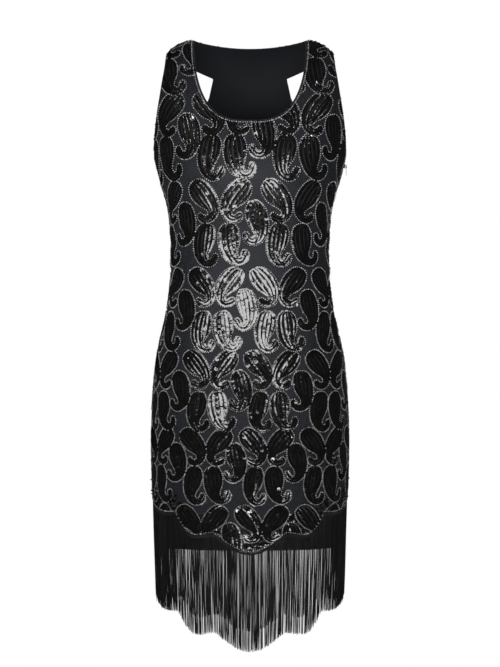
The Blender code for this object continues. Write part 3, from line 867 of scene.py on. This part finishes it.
@effect(
    {"Dark": "colour", "Bright": "colour", "Piece": "number", "Share bright": "number",
     "Roughness": "number"},
    {"Colour": "colour", "Roughness": "number"},
)
def piece_gleam(tree, given):
    """Shade and roughness that differ from one sequin or bead to the next."""
    film = tree.noise(tree.object_places(), 60.0, 3.0)
    low = tree.maths("SUBTRACT", 1.0, given["Share bright"])
    bright = tree.node("ShaderNodeMapRange", {0: given["Piece"], 1: low, 2: 1.0}).outputs[0]
    change = tree.maths("MULTIPLY_ADD", tree.maths("SUBTRACT", film, 0.5), 0.25, 1.0)
    own = tree.maths("MULTIPLY_ADD", given["Piece"], 0.3, 0.85)
    rough = tree.maths("MULTIPLY", tree.maths("MULTIPLY", change, own), given["Roughness"])
    return {"Colour": tree.blend(bright, given["Dark"], given["Bright"]), "Roughness": rough}


@effect(
    {"Dark": "colour", "Light": "colour", "Turns per metre": "number", "Piece": "number"},
    {"Colour": "colour", "Height": "number"},
)
def twisted_thread(tree, given):
    """Plies that wind round a cord or cross a tape."""
    places = tree.object_places()
    values = {"Vector": places, "Scale": given["Turns per metre"], "Distortion": 0.8}
    wave = tree.node(
        "ShaderNodeTexWave", values, wave_type="BANDS", bands_direction="DIAGONAL"
    ).outputs["Fac"]
    few_light = tree.maths("ADD", tree.maths("POWER", given["Piece"], 2.5), 0.06)
    cloud = tree.spread(tree.noise(places, 30.0, 3.0), 0.3, 0.7, 0.5, 1.2)
    amount = tree.maths("MULTIPLY", tree.maths("MULTIPLY", wave, few_light), cloud)
    return {"Colour": tree.blend(amount, given["Dark"], given["Light"]), "Height": wave}


@effect(
    {"Finish": "colour", "Rubbed": "colour", "Marks per metre": "number", "Roughness": "number"},
    {"Colour": "colour", "Roughness": "number", "Height": "number"},
)
def handling_wear(tree, given):
    """Fine rubbing that dulls and lightens a hard finish."""
    marks = tree.noise(tree.object_places(), given["Marks per metre"], 5.0)
    rub = tree.spread(marks, 0.52, 0.78)
    rough = tree.maths("MULTIPLY_ADD", rub, 0.22, given["Roughness"])
    colour = tree.blend(rub, given["Finish"], given["Rubbed"])
    return {"Colour": colour, "Roughness": rough, "Height": marks}


def new_material(name, group, given, plain=(), depth=0.0, strength=1.0):
    """A material with its own values for a shared effect, and its plain values for the shader.

    The effect's colour and roughness go to the shader, and its height becomes relief.
    """
    material = bpy.data.materials.new(name)
    material.use_nodes = True
    tree = Tree(material.node_tree)
    shader = tree.shader()
    made = tree.node("ShaderNodeGroup", given, node_tree=group)
    if "Piece" in made.inputs:
        island = tree.node("ShaderNodeNewGeometry").outputs["Random Per Island"]
        tree.join(made.inputs, {"Piece": island})
    tree.join(shader, {"Base Color": made.outputs["Colour"], **dict(plain)})
    if "Roughness" in made.outputs:
        tree.join(shader, {"Roughness": made.outputs["Roughness"]})
    if depth:
        values = {"Height": made.outputs["Height"], "Distance": depth, "Strength": strength}
        tree.join(shader, {"Normal": tree.node("ShaderNodeBump", values).outputs[0]})
    return material


def cloth_material(name, ground, dot, dots_per_metre, shade, roughness, sheen, depth):
    given = {"Ground": ground, "Dot": dot, "Dots per metre": dots_per_metre, "Shade": shade}
    plain = {"Roughness": roughness, "Sheen Weight": sheen, "Sheen Roughness": 0.4}
    return new_material(name, dotted_net(), given, {**plain, "Specular IOR Level": 0.3}, depth)


def gleaming_material(name, dark, bright, share_bright, roughness, ior, coat):
    given = {"Dark": dark, "Bright": bright, "Share bright": share_bright, "Roughness": roughness}
    plain = {"IOR": ior, "Coat Weight": coat, "Coat Roughness": 0.12}
    return new_material(name, piece_gleam(), given, plain)


def thread_material(name, dark, light, turns, roughness, sheen, depth):
    given = {"Dark": dark, "Light": light, "Turns per metre": turns}
    plain = {"Roughness": roughness, "Sheen Weight": sheen}
    return new_material(name, twisted_thread(), given, plain, depth)


def worn_material(name, finish, rubbed, marks, roughness, plain=(), depth=0.0):
    given = {"Finish": finish, "Rubbed": rubbed, "Marks per metre": marks, "Roughness": roughness}
    return new_material(name, handling_wear(), given, plain, depth, 0.5)


# Settings

def size(label, text, value, **more):
    more = {"min": 0.0, "subtype": "DISTANCE", "unit": "LENGTH", "precision": 5, **more}
    return FloatProperty(name=label, description=text, default=value, **more)


def tint(label, text, value):
    return FloatVectorProperty(
        name=label, description=text, default=value, size=3, subtype="COLOR", min=0.0, max=1.0
    )


def share(label, text, value):
    return FloatProperty(
        name=label, description=text, default=value, min=0.0, max=1.0, subtype="FACTOR"
    )


def power(label, text, value):
    return FloatProperty(name=label, description=text, default=value, min=0.0, unit="POWER")


def slant(label, text, degrees):
    return FloatProperty(
        name=label, description=text, default=math.radians(degrees), min=0.0, subtype="ANGLE"
    )


class DressClothSettings(bpy.types.PropertyGroup):
    """Net and lining."""

    net_colour: tint("Net colour", "Ground of the sequined net", (0.0148, 0.0163, 0.0208))
    dot_colour: tint("Dot colour", "Fine dots of the net", (0.046, 0.049, 0.059))
    lining_colour: tint("Lining colour", "Plain charcoal lining", (0.0180, 0.0192, 0.0245))
    dot_spacing: size("Dot spacing", "From one dot of the net to the next", 0.0017)
    lining_stitch: size("Lining stitch", "Knit of the lining", 0.0006)
    binding_radius: size("Binding radius", "Half of the rolled edge round neck and arms", 0.0011)


class DressSequinSettings(bpy.types.PropertyGroup):
    """Sequins and beads."""

    sequin_colour: tint("Sequin colour", "Black sequins", (0.004, 0.004, 0.0035))
    sequin_radius: size("Sequin radius", "Half of a sequin's width", 0.0031)
    sequin_pitch: size("Sequin pitch", "From one sequin of a row to the next", 0.0025)
    sequin_roughness: share("Sequin roughness", "How far a sequin blurs what it mirrors", 0.14)
    bead_colour: tint("Bead colour", "Silver grey beads", (0.76, 0.76, 0.78))
    bead_radius: size("Bead radius", "Half of a bead's width", 0.00115)
    bead_pitch: size("Bead pitch", "From one bead of a line to the next", 0.0036)
    leaf_slant: slant("Leaf slant", "How far leaves differ in the way they face", 2.6)
    row_slant: slant("Row slant", "How far the rows of a leaf differ in the way they face", 3.5)
    border_height: size("Border height", "Sequined border above the scalloped hem", 0.032)


class DressFringeSettings(bpy.types.PropertyGroup):
    """Fringe."""

    fringe_colour: tint("Fringe colour", "Black rayon cords", (0.004, 0.004, 0.004))
    strand_count: IntProperty(name="Cords", description="Cords of the front", default=1000, min=40)
    strand_radius: size("Cord radius", "Half of a cord's thickness", 0.00031)
    strand_length: size("Cord length", "From the tape to the free end", 0.157)
    clump_spacing: size("Clump spacing", "From one gathering of cords to the next", 0.0042)


class DressZipSettings(bpy.types.PropertyGroup):
    """Side zip."""

    coil_pitch: size("Coil pitch", "From one turn of the coil to the next", 0.0013)
    coil_wire: size("Coil wire", "Half of the coil wire's thickness", 0.00022)
    enamel_colour: tint("Enamel colour", "Black enamel of slider and tab", (0.012, 0.012, 0.013))


class DressStageSettings(bpy.types.PropertyGroup):
    """Floor, light and camera."""

    floor_height: size("Floor height", "Floor under the worn dress", -1.45, min=-3.0)
    camera_distance: size("Camera distance", "From the dress to the camera", 3.3)
    view_height: size("View height", "Height that the camera looks at", -0.486, min=-3.0)
    seen_height: size("Seen height", "Height that the picture takes in", 1.112)
    key_power: power("Key light", "Power of the near light", 2.25)
    fill_power: power("Fill light", "Power that the large lights share in", 8.0)


# Pieces


class DRESS_OT_lining(bpy.types.Operator):
    """Makes the plain lining of the front and the back"""

    bl_idname = "dress.lining"
    bl_label = "Lining"

    def execute(self, context):
        cloth = context.scene.dress_cloth
        knit = cloth_material(
            "charcoal_lining", cloth.lining_colour, [1.25 * c for c in cloth.lining_colour],
            1 / cloth.lining_stitch, shade=0.35, roughness=0.62, sheen=0.10, depth=0.00006,
        )
        columns = hem_line(FINER)[0]
        hem = (columns, np.full_like(columns, LINING_HEM_DROP))
        for face, name in FACE_NAMES.items():
            rows = panel_rows(face, hem, LINING_ROWS)
            node = f"lining_{name}"
            piece = cloth_shell(f"{name}_lining", face, rows, LINING_WALL, False, knit)
            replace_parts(piece, node)
        return {"FINISHED"}


class DRESS_OT_net(bpy.types.Operator):
    """Makes the net of the sequined front and back, and the rolled edges at neck and arms"""

    bl_idname = "dress.net"
    bl_label = "Net"

    def execute(self, context):
        cloth = context.scene.dress_cloth
        net = cloth_material(
            "slate_net", cloth.net_colour, cloth.dot_colour, 1 / cloth.dot_spacing,
            shade=0.5, roughness=0.6, sheen=0.05, depth=0.00025,
        )
        satin = thread_material(
            "satin_binding", (0.006, 0.006, 0.008), (0.020, 0.020, 0.024),
            turns=900.0, roughness=0.5, sheen=0.2, depth=0.0001,
        )
        for face, name in FACE_NAMES.items():
            rows = panel_rows(face, hem_line(FINER), NET_ROWS)
            piece = cloth_shell(f"{name}_net", face, rows, NET_WALL, True, net)
            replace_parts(piece, name)
            for edge, (angles, drops) in zip(EDGES, edge_lines(face)):
                outer, inner = (
                    even_path(cloth_points(face, angles, drops, out), BINDING_PITCH)
                    for out in ((LINING_WALL[1] + NET_WALL[1]) / 2, 0.0)
                )
                count = min(len(outer), len(inner))
                path, up = outer[None, :count], unit(outer[:count] - inner[:count])[None]
                points, faces = tubes(path, cloth.binding_radius, BINDING_SIDES, up)
                new_piece(f"{name}_{edge}_binding", points, faces, satin)
        return {"FINISHED"}


class DRESS_OT_sequins(bpy.types.Operator):
    """Sews the rows of sequins into every paisley leaf and along the scalloped border"""

    bl_idname = "dress.sequins"
    bl_label = "Sequins"

    def execute(self, context):
        cloth = context.scene.dress_sequins
        black = gleaming_material(
            "black_sequins", cloth.sequin_colour, (0.014, 0.011, 0.009), share_bright=0.3,
            roughness=cloth.sequin_roughness, ior=1.75, coat=0.6,
        )
        shape, shape_faces = sequin_shape()
        places = leaf_sequins(1000 * cloth.sequin_pitch)
        rows = places[:, 5].astype(int)
        radii = np.clip(SEQUIN_SHARE * places[:, 4], SMALLEST_SEQUIN, cloth.sequin_radius)
        sway = np.full_like(radii, LEAF_SWAY)
        for face, name in FACE_NAMES.items():
            rng = np.random.default_rng(SEQUIN_SEED + face)
            leaves = placed_leaves(face)
            claims = claim_cloth(leaves)
            laid = [self.border(face, claims, cloth)]
            for number, leaf in enumerate(leaves):
                x, y = lay_leaf(leaf, places[:, :2])
                way = unit(places[:, 2:4] @ leaf[1])
                # Each leaf and each of its rows sits at its own small slant
                lean = rng.normal(SEQUIN_LEAN, cloth.leaf_slant)
                lean += rng.normal(0, 0.5 * cloth.row_slant, SEQUIN_ROWS)[rows]
                roll = rng.normal(0, cloth.leaf_slant)
                roll += rng.normal(0, cloth.row_slant, SEQUIN_ROWS)[rows]
                leaf_laid = np.column_stack((x, y, way, radii, sway, lean, roll))
                laid.append(leaf_laid[claims[mask_cells(x, y)] == number])
            laid = np.concatenate(laid)
            laid = laid[on_panel(face, laid[:, 0], laid[:, 1], SEQUIN_MARGIN)]
            out = NET_WALL[1] + rng.uniform(*SEQUIN_LIFT, len(laid))
            # A few sit loosely on their thread, and lie flatter than those held down
            loose = rng.random(len(laid)) < LOOSE_SHARE
            turn = laid[:, 5] * np.where(loose, LOOSE_SWAY, 1.0)
            lean, roll = laid[:, 6:].T + rng.normal(0, 1, (2, len(laid))) * turn
            centres, axes = set_down(face, laid[:, 0], laid[:, 1], laid[:, 2:4], out, lean, roll)
            axes[loose, 2] *= LOOSE_HEIGHT
            sizes = laid[:, 4] * rng.uniform(*SEQUIN_SIZES, len(laid))
            points, faces = scattered(shape, shape_faces, centres, axes, sizes)
            new_piece(f"{name}_sequins", points, faces, black)
        return {"FINISHED"}

    def border(self, face, claims, cloth):
        """Sequins that fill what the leaves leave bare above the hem."""
        spots = []
        for line, rise in enumerate(np.arange(BORDER_START, cloth.border_height, BORDER_LINE)):
            across = np.arange(-BORDER_REACH, BORDER_REACH, BORDER_PITCH)
            across += BORDER_PITCH / 2 * (line % 2)
            spots.append(np.stack((across, hem_under(face, across)[1] - rise), -1))
        spots = np.concatenate(spots)
        spots = spots[claims[mask_cells(*spots.T)] < 0]
        fan = BORDER_TURN * spots[:, 0] + BORDER_WAVER * np.sin(spots[:, 1] / BORDER_WAVE)
        alike = np.tile((BORDER_SIZE * cloth.sequin_radius, BORDER_SWAY, 0, 0), (len(fan), 1))
        return np.column_stack((spots, np.cos(fan), np.sin(fan), alike))


class DRESS_OT_beads(bpy.types.Operator):
    """Sews the lines of beads round the leaves, along the neckline and along the hem"""

    bl_idname = "dress.beads"
    bl_label = "Beads"

    def execute(self, context):
        cloth = context.scene.dress_sequins
        silver = gleaming_material(
            "silver_beads", [0.4 * c for c in cloth.bead_colour], cloth.bead_colour,
            share_bright=0.9, roughness=0.3, ior=1.6, coat=0.4,
        )
        shape, shape_faces = bead_shape()
        edge = leaf_edge(1000 * cloth.bead_pitch)
        for face, name in FACE_NAMES.items():
            rng = np.random.default_rng(BEAD_SEED + face)
            leaves = placed_leaves(face)
            claims = claim_cloth(leaves)
            rim = np.arange(-HEM_BEADS_REACH, HEM_BEADS_REACH, cloth.bead_pitch)
            laid = []
            for number, leaf in enumerate(leaves):
                spots = np.array(lay_leaf(leaf, edge))
                owner = claims[mask_cells(*spots)]
                laid.append(spots[:, (owner == number) | (owner < 0)])
            laid.append(np.stack((rim, hem_under(face, rim)[1] - HEM_BEADS_UP)))
            laid = np.concatenate(laid, 1)
            laid += rng.normal(0, BEAD_STRAY, laid.shape)
            across, down = laid[:, on_panel(face, *laid, BEAD_MARGIN)]
            heading = np.tile((1.0, 0.0), (len(across), 1))
            lean, roll = rng.normal(0, BEAD_LEAN, (2, len(across)))
            out = NET_WALL[1] + BEAD_LIFT
            centres, axes = set_down(face, across, down, heading, out, lean, roll)
            if face == FRONT:
                neck_centres, neck_axes = self.neckline(cloth.bead_pitch)
                centres = np.concatenate((centres, neck_centres))
                axes = np.concatenate((axes, neck_axes))
            sizes = cloth.bead_radius * rng.uniform(*BEAD_SIZES, len(centres))
            points, faces = scattered(shape, shape_faces, centres, axes, sizes)
            new_piece(f"{name}_beads", points, faces, silver)
        return {"FINISHED"}

    def neckline(self, pitch):
        """Places and axes of the beads that follow the front neckline."""
        angles, drops = edge_lines(FRONT)[0]
        across = half_width(drops) * np.sin(angles)
        way = unit(np.stack((np.gradient(across), np.gradient(drops)), -1))
        across, drops = across - NECK_BEADS_IN * way[:, 1], drops + NECK_BEADS_IN * way[:, 0]
        angles = angle_across(across, drops)
        along = lengths_along(cloth_points(FRONT, angles, drops, 0.0))
        places = np.arange(NECK_BEADS_END, along[-1] - NECK_BEADS_END, pitch)
        angles, drops = (np.interp(places, along, part) for part in (angles, drops))
        centres = cloth_points(FRONT, angles, drops, NET_WALL[1] + BEAD_LIFT)
        normals = figure_normals(FRONT, angles, drops)
        ahead = np.gradient(centres, axis=0)
        ahead = unit(ahead - (ahead * normals).sum(-1, keepdims=True) * normals)
        return centres, np.stack((ahead, np.cross(normals, ahead), normals), 1)


class DRESS_OT_fringe(bpy.types.Operator):
    """Hangs the cords of the fringe from their narrow tapes"""

    bl_idname = "dress.fringe"
    bl_label = "Fringe"

    def execute(self, context):
        given = context.scene.dress_fringe
        rayon = thread_material(
            "black_rayon", given.fringe_colour, (0.06, 0.06, 0.06),
            turns=700.0, roughness=0.34, sheen=0.0, depth=0.00008,
        )
        braid = thread_material(
            "black_braid", given.fringe_colour, (0.022, 0.022, 0.022),
            turns=420.0, roughness=0.6, sheen=0.1, depth=0.0003,
        )
        angles, drops = hem_line(FINER)
        rows = [(angles, drops + TAPE_GAP + step) for step in TAPE_STEPS]
        parts = [f"{edge}_binding" for edge in EDGES]
        parts += ["sequins", "beads", "fringe_cords", "fringe_tape"]
        for face, name in FACE_NAMES.items():
            node = f"fringe_{name}"
            points, faces = self.cords(face, given, np.random.default_rng(FRINGE_SEED + face))
            cords = new_piece(f"{name}_fringe_cords", points, faces, rayon)
            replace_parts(cords, node)
            cloth_shell(f"{name}_fringe_tape", face, rows, TAPE_WALL, False, braid)
        return {"FINISHED"}

    def cords(self, face, given, rng):
        """Cords that drift together into clumps, and sway a little, as they hang."""
        count = given.strand_count if face == FRONT else int(BACK_CORDS * given.strand_count)
        girth = float(half_girth(face, HEM_READ_DROP))
        across = np.linspace(-girth + 2 * CORD_STRAY, girth - 2 * CORD_STRAY, count)
        across += rng.normal(0, CORD_STRAY, count)
        across = np.clip(across, -girth + 0.0004, girth - 0.0004)
        # Cords close up to the nearest clump, and only a few clumps are tight
        clumps = np.cumsum(given.clump_spacing * rng.uniform(*CLUMP_STEPS, CLUMPS)) - girth
        nearest = abs(across[:, None] - clumps[None]).argmin(1)
        closing = CLUMP_CLOSING[0] + CLUMP_CLOSING[1] * rng.uniform(0, 1, CLUMPS) ** 3
        closing = closing[nearest] * rng.uniform(*CORD_CHANGE, count)
        pull = (clumps[nearest] - across) * closing
        angle, drop = hem_under(face, across)
        root = cloth_points(face, angle, drop + CORD_TUCK, rng.uniform(*CORD_LAYERS, count))
        normal = figure_normals(face, angle, drop + CORD_TUCK)
        aside = unit(np.cross(normal, (0.0, 0.0, 1.0)) * -face)
        t = np.linspace(0, 1, CORD_PLACES)
        length = given.strand_length + 0.0021 - abs(rng.normal(0, LENGTH_CHANGE, count))
        # They wave and drift, more so lower down, and hang in a little
        phases = rng.uniform(0, 2 * math.pi, (4, count, 1))
        first, second, third = (
            np.sin(turn * t + phase) * reach
            for (turn, reach), phase in zip((*SIDE_WAVES, OUT_WAVE), phases)
        )
        drift = rng.normal(0, SIDE_DRIFT, (count, 1))
        side = pull[:, None] * np.minimum(t * 1.6, 1) + (first + second + drift) * t
        swell = (third + rng.normal(0, OUT_DRIFT, (count, 1))) * t
        path = np.repeat(root[:, None], CORD_PLACES, 1)
        path[:, :, :2] *= (1 - HANG_IN * t)[None, :, None]
        path[:, :, 2] -= t * length[:, None]
        path += side[..., None] * aside[:, None] + swell[..., None] * normal[:, None]
        # The twist opens a little towards the cut end
        radii = given.strand_radius * rng.uniform(*CORD_CHANGE, (count, 1)) * (0.95 + 0.4 * t**2)
        radii[:, -1] *= 0.7
        return tubes(path, radii, CORD_SIDES, normal[:, None])


class DRESS_OT_zip(bpy.types.Operator):
    """Makes the coil and tapes of the side zip, and finishes its slider and tab"""

    bl_idname = "dress.zip"
    bl_label = "Zip"

    def execute(self, context):
        given = context.scene.dress_zip
        nylon = worn_material(
            "black_nylon", (0.010, 0.010, 0.011), (0.03, 0.03, 0.03), marks=900, roughness=0.4,
            depth=0.00005,
        )
        twill = thread_material(
            "zip_tape_twill", (0.008, 0.008, 0.009), (0.03, 0.03, 0.03),
            turns=800.0, roughness=0.7, sheen=0.1, depth=0.0001,
        )
        enamel = worn_material(
            "black_enamel", given.enamel_colour, (0.16, 0.16, 0.17), marks=650, roughness=0.26,
            plain={"Metallic": 0.75}, depth=0.00005,
        )
        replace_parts(self.coil(given, nylon), "zip_chain")
        self.tape(twill)
        for node in ("zip_slider", "zip_pull"):
            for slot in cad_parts[node].material_slots:
                slot.material = enamel
        return {"FINISHED"}

    def seam(self, drops, out):
        """Places on the side seam, so far out from the figure, and the way out there."""
        side = np.full_like(drops, math.pi / 2)
        ways = figure_normals(FRONT, side, drops)
        ways[:, 1] = 0
        ways = unit(ways)
        base = figure_points(FRONT, side, drops)
        base[:, 1] = 0
        return base + out * ways, ways

    def coil(self, given, material):
        turns = (ZIP_END_DROP - ZIP_TOP_DROP) / given.coil_pitch
        steps = int(turns * COIL_STEPS)
        drops = np.linspace(ZIP_END_DROP, ZIP_TOP_DROP + COIL_TOP_ROOM, steps)
        middle, ways = self.seam(drops, COIL_OUT)
        paths = []
        for side in (-1, 1):
            phase = np.linspace(0, 2 * math.pi * turns, steps) + (math.pi / 2) * side
            path = middle + COIL_REACH_OUT * np.sin(phase)[:, None] * ways
            path[:, 1] += side * (COIL_APART + COIL_REACH_SIDE * np.cos(phase))
            paths.append(path)
        up = np.stack((ways, ways))
        points, faces = tubes(np.stack(paths), given.coil_wire, COIL_SIDES, up)
        return new_piece("zip_coil", points, faces, material)

    def tape(self, material):
        drops = np.linspace(ZIP_END_DROP + ZIP_TAPE_TAIL, ZIP_TOP_DROP, ZIP_TAPE_ROWS)
        corners = []
        for out, sides in zip(ZIP_TAPE_WALL, ((-1, 1), (1, -1))):
            base, _ = self.seam(drops, out)
            corners += [base + (0.0, side * ZIP_TAPE_HALF, 0.0) for side in sides]
        points = np.stack(corners, 1).reshape(-1, 3)
        first = (np.arange(ZIP_TAPE_ROWS - 1) * 4)[:, None]
        near = np.arange(4)
        far = (near + 1) % 4
        faces = np.stack((first + near, first + 4 + near, first + 4 + far, first + far), -1)
        ends = np.array((near, near[::-1] + 4 * (ZIP_TAPE_ROWS - 1)))
        faces = np.concatenate((faces.reshape(-1, 4), ends))
        new_piece("zip_tape", points, faces, material, SHARP_EDGE)


class DRESS_OT_stage(bpy.types.Operator):
    """Sets out the floor, the soft lights, the backdrop shade and the camera"""

    bl_idname = "dress.stage"
    bl_label = "Stage"

    def execute(self, context):
        given = context.scene.dress_stage
        self.floor(given.floor_height)
        self.backdrop(context.scene)
        key, fill = given.key_power, given.fill_power
        middle = (0, 0, -0.42)
        # Name, place, what it faces, width and height, power
        lights = (
            ("near_light", (-0.05, -0.60, -0.255), (0, -0.1, -0.35), (0.50, 0.24), key),
            ("low_light", (0.0, -0.95, -1.18), (0, -0.1, -0.90), (0.36, 0.14), 0.8 * key),
            ("left_spark", (-1.75, -1.65, 1.75), middle, (0.16, 0.16), 1.6 * key),
            ("right_spark", (1.75, -1.65, 1.75), middle, (0.16, 0.16), 1.6 * key),
            ("rear_near_light", (0.05, 0.60, -0.255), (0, 0.1, -0.35), (0.50, 0.24), key),
            ("front_fill", (-0.4, -2.0, 2.4), middle, (1.6, 1.6), 1.5 * fill),
            ("right_fill", (1.7, 0.35, -0.1), middle, (1.0, 1.0), 0.4 * fill),
            ("left_fill", (-1.7, 0.35, -0.1), middle, (1.0, 1.0), 0.4 * fill),
            ("rear_fill", (0.4, 2.0, 2.4), middle, (1.6, 1.6), 1.5 * fill),
        )
        for name, place, aim, sides, energy in lights:
            self.softbox(context.scene, name, Vector(place), Vector(aim), sides, energy)
        self.camera(context.scene, given)
        return {"FINISHED"}

    def floor(self, height):
        material = worn_material(
            "pale_floor", (0.80, 0.80, 0.79), (0.74, 0.74, 0.73), marks=6.0, roughness=0.6
        )
        # Pale to the camera, and dim in what the sequins mirror
        tree = Tree(material.node_tree)
        glow = {"Emission Strength": tree.camera_ray(), "Emission Color": (0.60, 0.60, 0.59)}
        tree.join(tree.shader(), glow)
        shape = bmesh.new()
        bmesh.ops.create_circle(shape, cap_ends=True, segments=128, radius=FLOOR_RADIUS)
        mesh = bpy.data.meshes.new("floor")
        shape.to_mesh(mesh)
        shape.free()
        mesh.materials.append(material)
        floor = bpy.data.objects.new("floor", mesh)
        floor.location.z = height
        bpy.context.scene.collection.objects.link(floor)

    def backdrop(self, scene):
        """White behind the dress, and a dimmer grey in what its sequins mirror."""
        world = scene.world or bpy.data.worlds.new("studio")
        scene.world = world
        world.use_nodes = True
        world.node_tree.nodes.clear()
        tree = Tree(world.node_tree)
        white = tree.node("ShaderNodeBackground", {0: (1, 1, 1), 1: 1.0}).outputs[0]
        dim = tree.node("ShaderNodeBackground", {0: (0.93, 0.95, 1), 1: 0.035}).outputs[0]
        mixed = tree.node("ShaderNodeMixShader", {0: tree.camera_ray(), 1: dim, 2: white})
        tree.node("ShaderNodeOutputWorld", {0: mixed.outputs[0]})

    def softbox(self, scene, name, place, aim, sides, energy):
        data = bpy.data.lights.new(name, "AREA")
        data.shape = "RECTANGLE"
        data.size, data.size_y = sides
        data.energy = energy
        light = bpy.data.objects.new(name, data)
        light.location = place
        light.rotation_euler = (aim - place).to_track_quat("-Z", "Y").to_euler()
        light.visible_camera = False
        light.visible_glossy = not name.endswith("fill")
        scene.collection.objects.link(light)

    def camera(self, scene, given):
        data = bpy.data.cameras.new("camera")
        data.sensor_fit = "VERTICAL"
        data.sensor_height = 36.0
        data.lens = data.sensor_height * given.camera_distance / given.seen_height
        camera = bpy.data.objects.new("camera", data)
        camera.location = (0, -given.camera_distance, given.view_height)
        camera.rotation_euler = (math.pi / 2, 0, 0)
        scene.collection.objects.link(camera)
        scene.camera = camera
        scene.view_settings.view_transform = "Standard"


class DRESS_PT_pieces(bpy.types.Panel):
    """Lists the steps and the settings of the dress"""

    bl_idname = "DRESS_PT_pieces"
    bl_label = "Sequin Fringe Dress"
    bl_space_type = "VIEW_3D"
    bl_region_type = "UI"
    bl_category = "Dress"

    def draw(self, context):
        for settings, group, steps in SECTIONS:
            box = self.layout.box()
            for name in group.__annotations__:
                box.prop(getattr(context.scene, settings), name)
            for step in steps:
                box.operator(step.bl_idname)


SECTIONS = (
    ("dress_cloth", DressClothSettings, (DRESS_OT_lining, DRESS_OT_net)),
    ("dress_sequins", DressSequinSettings, (DRESS_OT_sequins, DRESS_OT_beads)),
    ("dress_fringe", DressFringeSettings, (DRESS_OT_fringe,)),
    ("dress_zip", DressZipSettings, (DRESS_OT_zip,)),
    ("dress_stage", DressStageSettings, (DRESS_OT_stage,)),
)
STEPS = tuple(step for _, _, steps in SECTIONS for step in steps)
CLASSES = (*(group for _, group, _ in SECTIONS), *STEPS, DRESS_PT_pieces)


def register():
    for made in CLASSES:
        bpy.utils.register_class(made)
    for name, group, _ in SECTIONS:
        setattr(bpy.types.Scene, name, PointerProperty(type=group))


def unregister():
    for name, _, _ in SECTIONS:
        delattr(bpy.types.Scene, name)
    for made in reversed(CLASSES):
        bpy.utils.unregister_class(made)


def main():
    register()
    for step in STEPS:
        group, name = step.bl_idname.split(".")
        getattr(getattr(bpy.ops, group), name)()


if __name__ == "__main__":
    main()
